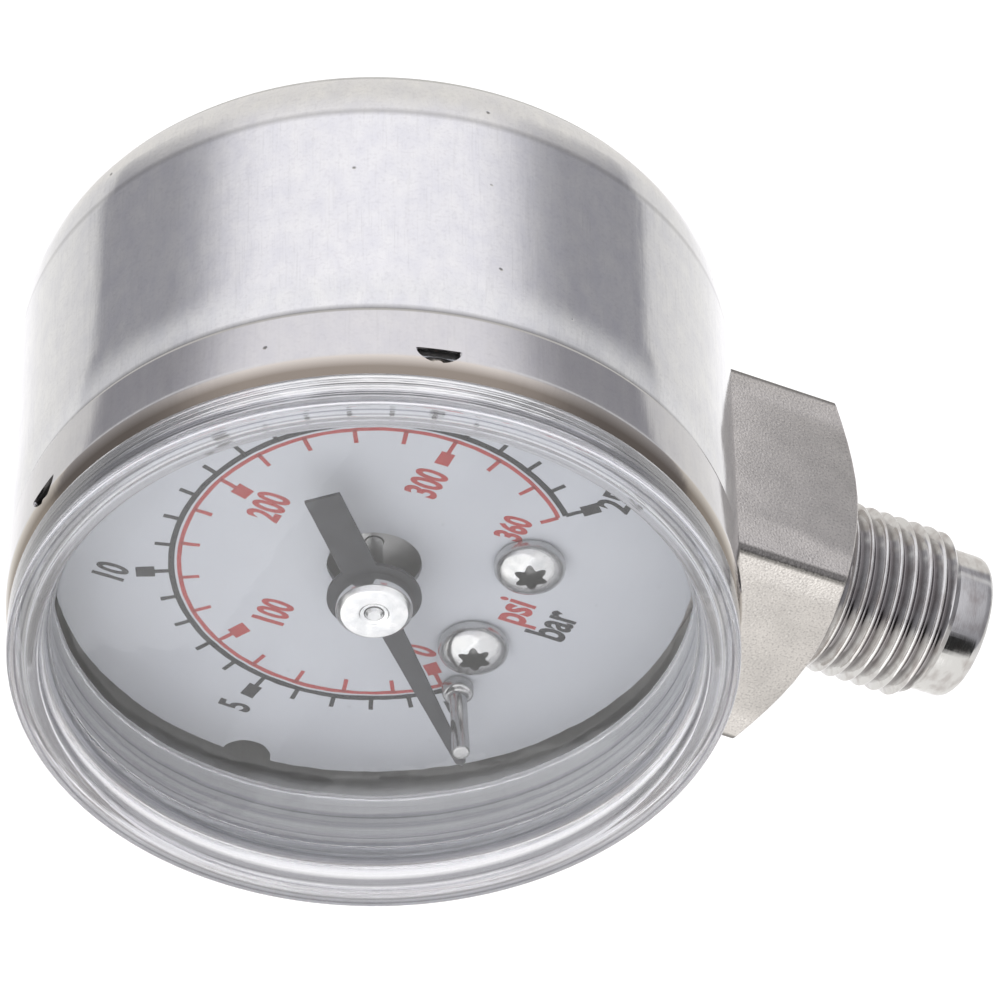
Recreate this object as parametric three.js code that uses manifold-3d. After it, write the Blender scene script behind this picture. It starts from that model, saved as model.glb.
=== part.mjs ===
// A Bourdon tube pressure gauge, nominal size 40, with a G 1/8 B thread at the bottom.
//
// Millimetres, +Z up, and the dial faces -Y. The origin is the centre of the shoulder that
// seats on the fitting, on the thread's axis.
//
// Everything is drawn in one group whose origin is on the dial's axis, 8 mm in front of the dial.
// There a place is [x, depth, z]: x to the right, depth away from the reader, z up.

import * as THREE from 'three';
import { mergeVertices } from 'three/addons/utils/BufferGeometryUtils.js';
import Module from 'manifold-3d';

// ---- Driving dimensions ----

const WINDOW_R = 19.45;
const WINDOW_FRONT = -0.6;
const CASE_R = 19.6;
const CASE_WALL = 0.6;
const CASE_DEPTH = 26;
const CASE_CORNER = { across: 2.4, along: 3.4 };
const DIAL_HEIGHT = 26.2; // dial axis above the shoulder
const STEM_DEPTH = 16.5; // depth of the thread's axis
const GAP = 0.05; // between pieces that rest on each other

const BLOCK_FLATS = 14;
const NECK_FLATS = 13.6; // the block is a little narrower where it goes through the case
const THREAD_MAJOR_R = 9.728 / 2;
const THREAD_MINOR_R = 8.566 / 2;
const THREAD_PITCH = 0.907;
const THREAD_TURNS = 8;
const COLLAR_LENGTH = 0.7; // plain length between the shoulder and the thread
const PILOT_R = 4.1;
const STEM_LENGTH = 10;
const BORE_R = 1.5;

const DIAL_FRONT = 8;
const DIAL_THICKNESS = 0.4;
const DIAL_R = 18;
const POINTER_DEPTH = 5.2;
const POINTER_REST = 226; // degrees clockwise from the top, just past the zero mark at 225
const POINTER_TIP_R = 14.7;
const STOP_PIN = { x: -7.3, z: -8.5 };

const FRONT_PLATE = { front: 10, back: 10.7 };
const REAR_PLATE = { front: 14.2, back: 15 };
const CARRIER = { halfWidth: 5, front: 15.05, back: 22.5, bossBack: 24.75, top: -9 };

const TUBE_R = 13.2;
const TUBE_START = 190.5; // degrees clockwise from the top
const TUBE_SWEEP = 291.5;
const TUBE_SECTION = { thick: 2, wide: 5.5, wall: 0.35, middle: 18.35 };

const GEAR_MODULE = 0.2;
const PINION_TEETH = 12;
const SECTOR_TEETH_IN_CIRCLE = 90;
const SECTOR_TEETH = 13;
const SECTOR_TEETH_MIDDLE = 112; // degrees anticlockwise from +X, seen from the front
const SECTOR_AXIS = { x: 6.56, z: -7.81 };
const SECTOR = { front: 12.4, back: 13 };
const BACKLASH = 0.05;

const TAIL_PIN = { x: 6.115, z: -10.979 };
const LINK_PIN = { x: 10.64, z: -10.2 };
const LINK = { front: 11.6, back: 12.1 };

const PILLARS = {
  left: { x: -6.5, z: 3.5 },
  right: { x: 6.5, z: 5 },
  lower: { x: -6.9, z: -8.7 },
};
const DIAL_SCREW = { x: 3.7, z: -7.8 };
const MOVEMENT_SCREW = { x: 3.2, z: -15.9 };
const CASE_SCREW = { x: 3.2, z: -12 };

const HAIRSPRING = { inner: 0.98, outer: 3.9, turns: 4.5, ribbon: 0.12, front: 11.1, back: 11.6 };
const HAIRSPRING_STUD_R = 0.5;

// ---- Finishes ----

function finish(color, roughness, metalness) {
  return new THREE.MeshStandardMaterial({ color, roughness, metalness });
}

const CLEAR_PLASTIC = finish(0xf4f6f8, 0.1, 0);
const CASE_STEEL = finish(0xd9d8d6, 0.25, 1);
const BLASTED_STEEL = finish(0x9c9a9b, 0.55, 1);
const SCREW_STEEL = finish(0xc4c4c6, 0.3, 1);
const PLATE_STEEL = finish(0xb4b4b4, 0.4, 1);
const TUBE_STEEL = finish(0xb9b4ac, 0.35, 1);
const SPRING_STEEL = finish(0x8f959c, 0.35, 1);
const DIAL_WHITE = finish(0xdfe1ea, 0.5, 0);
const POINTER_GREY = finish(0x5a5c62, 0.55, 0);

// ---- Plain shapes ----

const FULL_TURN = 2 * Math.PI;
const DEGREE = Math.PI / 180;

// Turns a [radius, depth] outline round the depth axis. The outline runs from the front to the
// back along the outside.
function turned(outline, segments = 48) {
  const points = outline.map(([radius, depth]) => new THREE.Vector2(radius, depth));
  return new THREE.LatheGeometry(points, segments);
}

// Turns a [radius, height] outline round the thread's axis, from the lowest point up.
function upright(outline, segments = 32) {
  return turned(outline, segments).rotateX(Math.PI / 2).translate(0, STEM_DEPTH, 0);
}

// A flat piece whose outline is drawn as the reader sees it.
function plate(shape, { front, back }) {
  const flat = new THREE.ExtrudeGeometry(shape, { depth: back - front, bevelEnabled: false, curveSegments: 4 });
  return flat.rotateX(Math.PI / 2).translate(0, back, 0);
}

function rod(radius, front, back, segments = 16) {
  return new THREE.CylinderGeometry(radius, radius, back - front, segments).translate(0, (front + back) / 2, 0);
}

function boxBetween(low, high) {
  const size = high.map((value, axis) => value - low[axis]);
  const middle = high.map((value, axis) => (value + low[axis]) / 2);
  return new THREE.BoxGeometry(...size).translate(...middle);
}

// The point at a radius and an angle in degrees, anticlockwise from +X as the reader sees it.
function polar(radius, degrees) {
  return new THREE.Vector2(radius * Math.cos(degrees * DEGREE), radius * Math.sin(degrees * DEGREE));
}

// The same with the angle clockwise from the top, as on a clock.
function clock(radius, degrees) {
  return polar(radius, 90 - degrees);
}

function circle(radius, { x, z } = { x: 0, z: 0 }, segments = 16) {
  const points = [];
  for (let i = 0; i < segments; i += 1) {
    points.push(polar(radius, (360 * i) / segments).add(new THREE.Vector2(x, z)));
  }
  return points;
}

// The outline of a belt round circles of one radius, whose centres run anticlockwise.
function belt(centres, radius) {
  const shape = new THREE.Shape();
  centres.forEach(({ x, z }, i) => {
    const before = centres.at(i - 1);
    const after = centres[(i + 1) % centres.length];
    const start = Math.atan2(z - before.z, x - before.x) - Math.PI / 2;
    const end = Math.atan2(after.z - z, after.x - x) - Math.PI / 2;
    const turn = (end - start + FULL_TURN) % FULL_TURN;
    shape.absarc(x, z, radius, start, start + turn, false);
  });
  return shape;
}

// ---- Cutting and joining ----

const wasm = await Module();
wasm.setup();

function toSolid(geometry) {
  const bare = geometry.clone();
  bare.deleteAttribute('normal');
  bare.deleteAttribute('uv');
  const merged = mergeVertices(bare);
  const corners = [];
  for (let i = 0; i < merged.index.count; i += 3) {
    const [a, b, c] = [0, 1, 2].map((step) => merged.index.getX(i + step));
    if (a !== b && b !== c && c !== a) {
      corners.push(a, b, c);
    }
  }
  return new wasm.Manifold(new wasm.Mesh({
    numProp: 3,
    vertProperties: merged.attributes.position.array,
    triVerts: Uint32Array.from(corners),
  }));
}

function toGeometry(solid) {
  const mesh = solid.getMesh();
  const geometry = new THREE.BufferGeometry();
  geometry.setAttribute('position', new THREE.BufferAttribute(mesh.vertProperties, 3));
  geometry.setIndex(new THREE.BufferAttribute(mesh.triVerts, 1));
  geometry.computeVertexNormals();
  return geometry;
}

function cut(body, ...tools) {
  return toGeometry(tools.reduce((solid, tool) => solid.subtract(toSolid(tool)), toSolid(body)));
}

function join(first, ...others) {
  return toGeometry(others.reduce((solid, other) => solid.add(toSolid(other)), toSolid(first)));
}

function common(first, second) {
  return toGeometry(toSolid(first).intersect(toSolid(second)));
}

// ---- The scene graph ----

const gauge = new THREE.Group();
gauge.position.set(0, -STEM_DEPTH, DIAL_HEIGHT);

// Adds one named piece, moved from the dial's axis to its own place on the face.
function add(name, geometry, material, { x, z } = { x: 0, z: 0 }) {
  const mesh = new THREE.Mesh(geometry, material.clone());
  mesh.name = name;
  mesh.position.set(x, 0, z);
  gauge.add(mesh);
}

function mirrored({ x, z }, side) {
  return { x: side === 'left' ? -x : x, z };
}

// ---- Window ----
// A clear cover: a flange on the case's edge, a raised rim round the sunk pane, and a skirt.

function windowCover() {
  const paneFront = 1.4;
  const paneBack = 2.9;
  const flangeBack = 1.8;
  const skirt = { inner: 17.6, outer: 18.85, back: 6.2 };
  return turned([
    [0, paneFront],
    [17.3, paneFront],
    [17.8, WINDOW_FRONT],
    [WINDOW_R, WINDOW_FRONT],
    [WINDOW_R, flangeBack],
    [skirt.outer, flangeBack],
    [skirt.outer, skirt.back],
    [skirt.inner, skirt.back],
    [skirt.inner, paneBack],
    [0, paneBack],
  ], 56);
}

add('window', windowCover(), CLEAR_PLASTIC);

// ---- Case ----
// A deep-drawn cup. Its front edge is drawn in a little, its rear corner is rounded, the socket
// leaves through a square hole, and two dimples at the back take countersunk screws.

const CASE_FRONT = 1.9;
const CASE_SHOULDER_DEPTH = 3;
const LIP = { inner: 18.95, outer: 19.3 };
const HOLE_GAP = 0.1;
const SCREW_HEAD = { radius: 1.95, neck: 1, depth: 0.95 };
const DIMPLE_WALL = 0.55;

function cornerArc(wall) {
  const { across, along } = CASE_CORNER;
  const points = [];
  const steps = 6;
  for (let i = 0; i <= steps; i += 1) {
    const step = polar(1, (i / steps) * 90);
    points.push([
      CASE_R - across + (across - wall) * step.x,
      CASE_DEPTH - along + (along - wall) * step.y,
    ]);
  }
  return points;
}

function cupOutline() {
  const outer = cornerArc(0);
  const inner = cornerArc(CASE_WALL).reverse();
  return [
    [0, CASE_DEPTH - CASE_WALL],
    ...inner,
    [CASE_R - CASE_WALL, CASE_SHOULDER_DEPTH],
    [LIP.inner, CASE_FRONT],
    [LIP.outer, CASE_FRONT],
    [CASE_R, CASE_SHOULDER_DEPTH],
    ...outer,
    [0, CASE_DEPTH],
  ];
}

function countersink(play) {
  const head = SCREW_HEAD.radius + play;
  const neck = SCREW_HEAD.neck + play;
  const seat = CASE_DEPTH - SCREW_HEAD.depth;
  return turned([
    [0, seat - DIMPLE_WALL],
    [neck, seat - DIMPLE_WALL],
    [neck, seat],
    [head, CASE_DEPTH - GAP],
    [head, CASE_DEPTH + 1],
    [0, CASE_DEPTH + 1],
  ], 20);
}

function dimple() {
  const front = CASE_DEPTH - SCREW_HEAD.depth - DIMPLE_WALL / 2;
  const outer = SCREW_HEAD.radius + DIMPLE_WALL;
  return turned([
    [0, front],
    [SCREW_HEAD.neck + DIMPLE_WALL, front],
    [outer, CASE_DEPTH - CASE_WALL],
    [outer, CASE_DEPTH - CASE_WALL / 2],
    [0, CASE_DEPTH - CASE_WALL / 2],
  ], 20);
}

function caseCup() {
  const half = NECK_FLATS / 2 + HOLE_GAP;
  const socketHole = boxBetween(
    [-half, STEM_DEPTH - half, -CASE_R - 1],
    [half, STEM_DEPTH + half, -CASE_R / 2],
  );
  let cup = cut(turned(cupOutline(), 56), socketHole);
  for (const side of ['left', 'right']) {
    const { x, z } = mirrored(CASE_SCREW, side);
    cup = join(cup, dimple().translate(x, 0, z));
    cup = cut(cup, countersink(0.08).translate(x, 0, z));
  }
  return cup;
}

add('case', caseCup(), CASE_STEEL);

function caseScrew() {
  const tip = 22.3;
  const head = turned([
    [0, tip],
    [SCREW_HEAD.neck, tip],
    [SCREW_HEAD.neck, CASE_DEPTH - SCREW_HEAD.depth],
    [SCREW_HEAD.radius, CASE_DEPTH - GAP],
    [0, CASE_DEPTH - GAP],
  ], 20);
  const slot = boxBetween([-3, CASE_DEPTH - 0.5, -0.22], [3, CASE_DEPTH + 1, 0.22]);
  return cut(head, slot);
}

for (const side of ['left', 'right']) {
  add(`case_screw_${side}`, caseScrew(), SCREW_STEEL, mirrored(CASE_SCREW, side));
}

// ---- Socket ----
// Thread, square block and carrier in one piece, with the pressure bore and the tube's pocket.

const SHOULDER_Z = -DIAL_HEIGHT;
const BLOCK_TOP = -17.4;
const SHOULDER_R = 6.6;
const CORNER_CHAMFER = 20; // degrees, turned on the block's lower corners
const MOVEMENT_SCREW_R = 0.75;
const CASE_THREAD_R = SCREW_HEAD.neck + GAP;

function block() {
  const half = BLOCK_FLATS / 2;
  const neckHalf = NECK_FLATS / 2;
  const saddle = rod(CASE_R + 2 * GAP, 5, CASE_DEPTH + 1, 96);
  const square = boxBetween(
    [-half, STEM_DEPTH - half, SHOULDER_Z],
    [half, STEM_DEPTH + half, -CASE_R + 1.8],
  );
  const neck = boxBetween(
    [-neckHalf, STEM_DEPTH - neckHalf, SHOULDER_Z],
    [neckHalf, STEM_DEPTH + neckHalf, BLOCK_TOP],
  );
  const beyondCorner = 12;
  const rise = (beyondCorner - SHOULDER_R) * Math.tan(CORNER_CHAMFER * DEGREE);
  const turning = upright([
    [0, SHOULDER_Z],
    [SHOULDER_R, SHOULDER_Z],
    [beyondCorner, SHOULDER_Z + rise],
    [beyondCorner, BLOCK_TOP],
    [0, BLOCK_TOP],
  ], 48);
  return common(join(cut(square, saddle), neck), turning);
}

function stem() {
  const end = SHOULDER_Z - STEM_LENGTH;
  const threadTop = SHOULDER_Z - COLLAR_LENGTH;
  const collarR = THREAD_MAJOR_R + 0.02;
  const outline = [[0, end], [PILOT_R - 0.4, end], [PILOT_R, end + 0.4]];
  for (let turn = THREAD_TURNS; turn > 0; turn -= 1) {
    const root = threadTop - turn * THREAD_PITCH;
    outline.push([THREAD_MINOR_R, root]);
    outline.push([THREAD_MAJOR_R, root + THREAD_PITCH / 2]);
  }
  outline.push([THREAD_MINOR_R, threadTop], [collarR, threadTop], [collarR, SHOULDER_Z + 1], [0, SHOULDER_Z + 1]);
  return upright(outline);
}

function carrier() {
  const { halfWidth, front, back, bossBack, top } = CARRIER;
  const body = boxBetween([-halfWidth, front, BLOCK_TOP - 1], [halfWidth, back, top]);
  const boss = boxBetween([-halfWidth, back - 1, -14.5], [halfWidth, bossBack, top]);
  return join(body, boss);
}

function pressureBore() {
  const crossZ = -13;
  const narrowR = 0.8;
  const inlet = upright([[0, SHOULDER_Z - STEM_LENGTH - 1], [BORE_R, SHOULDER_Z - STEM_LENGTH - 1],
    [BORE_R, -19], [narrowR, -18.4], [narrowR, crossZ + 1], [0, crossZ + 1]], 20);
  const cross = new THREE.CylinderGeometry(narrowR, narrowR, 3.4, 16).rotateZ(Math.PI / 2);
  return join(inlet, cross.translate(-1.7, STEM_DEPTH, crossZ));
}

function tubePocket() {
  const room = 0.1;
  const halfWide = TUBE_SECTION.wide / 2 + room;
  return boxBetween(
    [-CARRIER.halfWidth - 1, TUBE_SECTION.middle - halfWide, -14.15],
    [-2.1, TUBE_SECTION.middle + halfWide, -11],
  );
}

function socket() {
  const tools = [pressureBore(), tubePocket()];
  for (const side of ['left', 'right']) {
    const low = mirrored(MOVEMENT_SCREW, side);
    const high = mirrored(CASE_SCREW, side);
    tools.push(rod(MOVEMENT_SCREW_R + GAP, 14, 18, 12).translate(low.x, 0, low.z));
    tools.push(rod(CASE_THREAD_R, 22, 26, 12).translate(high.x, 0, high.z));
  }
  return cut(join(block(), stem(), carrier()), ...tools);
}

add('socket', socket(), BLASTED_STEEL);

// ---- Bourdon tube and its tip ----

class TubeCurve extends THREE.Curve {
  getPoint(t) {
    const { x, y } = clock(TUBE_R, TUBE_START + TUBE_SWEEP * t);
    return new THREE.Vector3(x, TUBE_SECTION.middle, y);
  }
}

// A flat tube's section: two straight sides and two round ends. Its long side lies along the
// depth, which is the section's own x along this curve.
function flattened(thick, wide) {
  const half = (wide - thick) / 2;
  return belt([{ x: -half, z: 0 }, { x: half, z: 0 }], thick / 2);
}

function bourdonTube() {
  const { thick, wide, wall } = TUBE_SECTION;
  const section = flattened(thick, wide);
  section.holes.push(flattened(thick - 2 * wall, wide - 2 * wall));
  return new THREE.ExtrudeGeometry(section, {
    steps: 30,
    curveSegments: 2,
    extrudePath: new TubeCurve(),
  });
}

add('bourdon_tube', bourdonTube(), TUBE_STEEL);

const TUBE_END = TUBE_START + TUBE_SWEEP; // degrees clockwise from the top
const LINK_PIN_R = 0.4;
const LINK_END_R = 0.95;

function tubeTip() {
  const end = clock(TUBE_R, TUBE_END);
  const halfThick = TUBE_SECTION.thick / 2;
  const halfWide = TUBE_SECTION.wide / 2;
  const plug = boxBetween(
    [GAP, TUBE_SECTION.middle - halfWide, -halfThick],
    [2.6, TUBE_SECTION.middle + halfWide, halfThick],
  );
  plug.rotateY(TUBE_END * DEGREE).translate(end.x, 0, end.y);
  const middle = clock(2, TUBE_END + 90).add(end);
  const arm = plate(belt([{ x: middle.x, z: middle.y }, LINK_PIN], 1), {
    front: TUBE_SECTION.middle - halfWide,
    back: TUBE_SECTION.middle + halfWide,
  });
  const post = rod(1, 12.5, TUBE_SECTION.middle).translate(LINK_PIN.x, 0, LINK_PIN.z);
  const pinHole = rod(LINK_PIN_R + GAP, 12, 14.6, 12).translate(LINK_PIN.x, 0, LINK_PIN.z);
  return cut(join(plug, arm, post), pinHole);
}

add('tube_tip', tubeTip(), TUBE_STEEL);

// A headed pin that holds the link: the head in front, the shank behind.
function headedPin(shankR, headR, back) {
  const front = LINK.front - 0.5;
  const headBack = LINK.front - GAP;
  return turned([[0, front], [headR, front], [headR, headBack], [shankR, headBack], [shankR, back], [0, back]], 16);
}

add('link_pin', headedPin(LINK_PIN_R, 0.8, 14.4), SCREW_STEEL, LINK_PIN);

// The far eye is wider than its pin by the arc that the sector's tail rises in mid travel.
const LINK_EYE_PLAY = 0.22;

function link() {
  const shape = belt([TAIL_PIN, LINK_PIN], LINK_END_R);
  shape.holes.push(new THREE.Path(circle(LINK_PIN_R + GAP, LINK_PIN)));
  shape.holes.push(new THREE.Path(circle(LINK_PIN_R + LINK_EYE_PLAY, TAIL_PIN)));
  return plate(shape, LINK);
}

add('link', link(), PLATE_STEEL);

// ---- Sector, pinion and pointer shaft ----

const PRESSURE_ANGLE = 20 * DEGREE;

function involute(angle) {
  return Math.tan(angle) - angle;
}

// One tooth's outline round its middle angle, in degrees. The flanks are involutes, and go
// straight in below the base circle.
function toothPoints(teethInCircle, addendum, middle) {
  const pitchR = (GEAR_MODULE * teethInCircle) / 2;
  const baseR = pitchR * Math.cos(PRESSURE_ANGLE);
  const rootR = pitchR - 1.3 * GEAR_MODULE;
  const tipR = pitchR + addendum * GEAR_MODULE;
  const atPitch = Math.PI / (2 * teethInCircle) - BACKLASH / (2 * pitchR) + involute(PRESSURE_ANGLE);
  const startR = Math.max(baseR, rootR);
  const flank = [[rootR, atPitch - involute(Math.acos(Math.min(1, baseR / startR)))]];
  const steps = 3;
  for (let i = 0; i <= steps; i += 1) {
    const radius = startR + ((tipR - startR) * i) / steps;
    flank.push([radius, atPitch - involute(Math.acos(Math.min(1, baseR / radius)))]);
  }
  const rising = flank.map(([radius, half]) => polar(radius, middle - half / DEGREE));
  const falling = flank.map(([radius, half]) => polar(radius, middle + half / DEGREE)).reverse();
  return [...rising, ...falling];
}

// The direction from the dial's axis to the sector's axis, and the direction back.
const TO_SECTOR = Math.atan2(SECTOR_AXIS.z, SECTOR_AXIS.x) / DEGREE;
const ADDENDUM = 0.85; // in modules

function pinion() {
  const outline = [];
  for (let tooth = 0; tooth < PINION_TEETH; tooth += 1) {
    outline.push(...toothPoints(PINION_TEETH, ADDENDUM, TO_SECTOR + (360 * tooth) / PINION_TEETH));
  }
  return plate(new THREE.Shape(outline), { front: SECTOR.front - 0.4, back: SECTOR.back + 0.4 });
}

const ARBOR = { front: 3.85, journalR: 0.5, shoulder: 13.9, pivotR: 0.35, back: 14.9 };

function pointerArbor() {
  const { front, journalR, shoulder, pivotR, back } = ARBOR;
  const shaft = turned([[0, front], [journalR - 0.15, front], [journalR, front + 0.15],
    [journalR, shoulder], [pivotR, shoulder], [pivotR, back], [0, back]], 32);
  return join(shaft, pinion());
}

add('pointer_arbor', pointerArbor(), SCREW_STEEL);

const SECTOR_PIVOT = { bodyR: 0.7, pivotR: 0.4 };

function sectorGear() {
  const toothStep = 360 / SECTOR_TEETH_IN_CIRCLE;
  const first = SECTOR_TEETH_MIDDLE - (toothStep * (SECTOR_TEETH - 1)) / 2;
  const last = first + toothStep * (SECTOR_TEETH - 1);
  const outline = [polar(1.2, last + 40), polar(1.2, first - 40)];
  for (let tooth = 0; tooth < SECTOR_TEETH; tooth += 1) {
    outline.push(...toothPoints(SECTOR_TEETH_IN_CIRCLE, ADDENDUM, first + tooth * toothStep));
  }
  const wedge = new THREE.Shape(outline);
  const window = [[3, 0.75], [7.4, 0.85]].flatMap(([radius, share], i) => {
    const half = ((last - first) / 2) * share;
    const ends = [polar(radius, SECTOR_TEETH_MIDDLE - half), polar(radius, SECTOR_TEETH_MIDDLE + half)];
    return i === 0 ? ends.reverse() : ends;
  });
  wedge.holes.push(new THREE.Path(window));
  const tailPin = { x: TAIL_PIN.x - SECTOR_AXIS.x, z: TAIL_PIN.z - SECTOR_AXIS.z };
  const tail = plate(belt([{ x: 0, z: 0 }, tailPin], 1), SECTOR);
  const hub = rod(1.8, SECTOR.front, SECTOR.back, 24);
  const holes = [
    rod(SECTOR_PIVOT.bodyR + GAP, SECTOR.front - 1, SECTOR.back + 1),
    rod(LINK_PIN_R + GAP, SECTOR.front - 1, SECTOR.back + 1, 12).translate(tailPin.x, 0, tailPin.z),
  ];
  return cut(join(plate(wedge, SECTOR), tail, hub), ...holes);
}

add('sector_gear', sectorGear(), PLATE_STEEL, SECTOR_AXIS);

function sectorArbor() {
  const { bodyR, pivotR } = SECTOR_PIVOT;
  const front = FRONT_PLATE.front + GAP;
  const back = REAR_PLATE.back - GAP;
  const collarFront = SECTOR.back + GAP;
  return turned([[0, front], [pivotR, front], [pivotR, FRONT_PLATE.back + GAP], [bodyR, FRONT_PLATE.back + GAP],
    [bodyR, collarFront], [1.2, collarFront], [1.2, collarFront + 0.4], [bodyR, collarFront + 0.4],
    [bodyR, REAR_PLATE.front - GAP], [pivotR, REAR_PLATE.front - GAP], [pivotR, back], [0, back]], 16);
}

add('sector_arbor', sectorArbor(), SCREW_STEEL, SECTOR_AXIS);
add('sector_tail_pin', headedPin(LINK_PIN_R, 0.9, SECTOR.back - GAP), SCREW_STEEL, TAIL_PIN);

// ---- Hairspring ----

function hairspringCollet() {
  const inner = ARBOR.journalR + GAP;
  const outer = HAIRSPRING.inner - HAIRSPRING.ribbon;
  const front = FRONT_PLATE.back + 0.3;
  const back = HAIRSPRING.back + 0.1;
  return turned([[inner, front], [outer, front], [outer, back], [inner, back], [inner, front]], 20);
}

add('hairspring_collet', hairspringCollet(), SCREW_STEEL);

// A flat spiral ribbon that ends on the right of the shaft.
function hairspring() {
  const { inner, outer, turns, ribbon } = HAIRSPRING;
  const steps = 16 * turns;
  const side = (offset) => {
    const points = [];
    for (let i = 0; i <= steps; i += 1) {
      const radius = inner + ((outer - inner) * i) / steps + offset;
      points.push(polar(radius, (360 * turns * (i - steps)) / steps));
    }
    return points;
  };
  const outline = [...side(ribbon / 2), ...side(-ribbon / 2).reverse()];
  return plate(new THREE.Shape(outline), HAIRSPRING);
}

add('hairspring', hairspring(), SPRING_STEEL);

const studReach = HAIRSPRING.outer + HAIRSPRING.ribbon / 2 + GAP + HAIRSPRING_STUD_R;
const stud = rod(HAIRSPRING_STUD_R, FRONT_PLATE.back + GAP, HAIRSPRING.back + 0.15, 12);
add('hairspring_stud', stud, SCREW_STEEL, { x: studReach, z: 0 });

// ---- Movement plates, pillars and screws ----

const PLATE_CORNERS = [PILLARS.left, PILLARS.lower, SECTOR_AXIS, PILLARS.right];
const PLATE_EDGE = 1.7;
const PILLAR = { radius: 1.3, rivetR: 0.8, holeR: 0.7, holeBack: 13 };
const PLATE_SCREW = { shankR: 0.6, headR: 1.25, head: 0.6 };

function slottedScrew({ shankR, headR, headFront, seat, back }) {
  const screw = turned([[0, headFront], [headR - 0.15, headFront], [headR, headFront + 0.15], [headR, seat],
    [shankR, seat], [shankR, back], [0, back]], 12);
  const slot = boxBetween([-headR - 1, headFront - 1, -0.18], [headR + 1, headFront + 0.3, 0.18]);
  return cut(screw, slot);
}

function frontPlate() {
  const shape = belt(PLATE_CORNERS, PLATE_EDGE);
  const hole = (radius, place) => shape.holes.push(new THREE.Path(circle(radius, place, 12)));
  hole(ARBOR.journalR + 0.08, { x: 0, z: 0 });
  hole(SECTOR_PIVOT.pivotR + GAP, SECTOR_AXIS);
  Object.values(PILLARS).forEach((place) => hole(PLATE_SCREW.shankR + GAP, place));
  ['left', 'right'].forEach((side) => hole(1.05, mirrored(DIAL_SCREW, side)));
  return plate(shape, FRONT_PLATE);
}

add('front_plate', frontPlate(), PLATE_STEEL);

function rearPlate() {
  const foot = boxBetween([-4.7, REAR_PLATE.front, -17.3], [4.7, REAR_PLATE.back, -8]);
  const tool = (radius, { x, z }) => rod(radius, REAR_PLATE.front - 1, REAR_PLATE.back + 1, 12).translate(x, 0, z);
  return cut(
    join(plate(belt(PLATE_CORNERS, PLATE_EDGE), REAR_PLATE), foot),
    tool(ARBOR.pivotR + GAP, { x: 0, z: 0 }),
    tool(SECTOR_PIVOT.pivotR + GAP, SECTOR_AXIS),
    ...Object.values(PILLARS).map((place) => tool(PILLAR.rivetR + GAP, place)),
    ...['left', 'right'].map((side) => tool(MOVEMENT_SCREW_R + GAP, mirrored(MOVEMENT_SCREW, side))),
  );
}

add('rear_plate', rearPlate(), PLATE_STEEL);

function pillar() {
  const { radius, rivetR, holeR, holeBack } = PILLAR;
  const front = FRONT_PLATE.back + GAP;
  const shoulder = REAR_PLATE.front - GAP;
  return turned([[0, holeBack], [holeR, holeBack], [holeR, front], [radius, front], [radius, shoulder],
    [rivetR, shoulder], [rivetR, REAR_PLATE.back - GAP], [0, REAR_PLATE.back - GAP]], 12);
}

const plateScrew = slottedScrew({
  shankR: PLATE_SCREW.shankR,
  headR: PLATE_SCREW.headR,
  headFront: FRONT_PLATE.front - GAP - PLATE_SCREW.head,
  seat: FRONT_PLATE.front - GAP,
  back: 12.8,
});

for (const [name, place] of Object.entries(PILLARS)) {
  add(`pillar_${name}`, pillar(), SCREW_STEEL, place);
  add(`plate_screw_${name}`, plateScrew.clone(), SCREW_STEEL, place);
}

const movementScrew = slottedScrew({
  shankR: MOVEMENT_SCREW_R,
  headR: 1.35,
  headFront: REAR_PLATE.front - GAP - 0.8,
  seat: REAR_PLATE.front - GAP,
  back: 17.8,
});

for (const side of ['left', 'right']) {
  add(`movement_screw_${side}`, movementScrew.clone(), SCREW_STEEL, mirrored(MOVEMENT_SCREW, side));
}

// ---- Dial, its spacers and screws ----

const DIAL_BACK = DIAL_FRONT + DIAL_THICKNESS;
const DIAL_SCREW_SIZE = { shankR: 0.95, headR: 2, headFront: 6.65 };
const DIAL_NOTCH = { radius: 1.5, depth: 1.3 };

function dial() {
  const disc = turned([[0, DIAL_FRONT], [DIAL_R, DIAL_FRONT], [DIAL_R, DIAL_BACK], [0, DIAL_BACK]], 64);
  const drill = (radius, x, z) => rod(radius, DIAL_FRONT - 1, DIAL_BACK + 1).translate(x, 0, z);
  const notchX = DIAL_R - DIAL_NOTCH.depth + DIAL_NOTCH.radius;
  return cut(
    disc,
    drill(2.65, 0, 0),
    drill(DIAL_NOTCH.radius, notchX, 0),
    drill(DIAL_NOTCH.radius, -notchX, 0),
    drill(DIAL_SCREW_SIZE.shankR + 0.15, DIAL_SCREW.x, DIAL_SCREW.z),
    drill(DIAL_SCREW_SIZE.shankR + 0.15, -DIAL_SCREW.x, DIAL_SCREW.z),
    drill(0.55, STOP_PIN.x, STOP_PIN.z),
  );
}

add('dial', dial(), DIAL_WHITE);

function dialStandoff() {
  const front = DIAL_BACK + GAP;
  const back = FRONT_PLATE.front - GAP;
  const inner = DIAL_SCREW_SIZE.shankR + GAP;
  return turned([[inner, front], [1.6, front], [1.6, back], [inner, back], [inner, front]], 20);
}

const dialScrew = slottedScrew({ ...DIAL_SCREW_SIZE, seat: DIAL_FRONT - GAP, back: FRONT_PLATE.back - GAP });

for (const side of ['left', 'right']) {
  const place = mirrored(DIAL_SCREW, side);
  add(`dial_standoff_${side}`, dialStandoff(), SCREW_STEEL, place);
  add(`dial_screw_${side}`, dialScrew.clone(), SCREW_STEEL, place);
}

// ---- Stop pin ----

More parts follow.
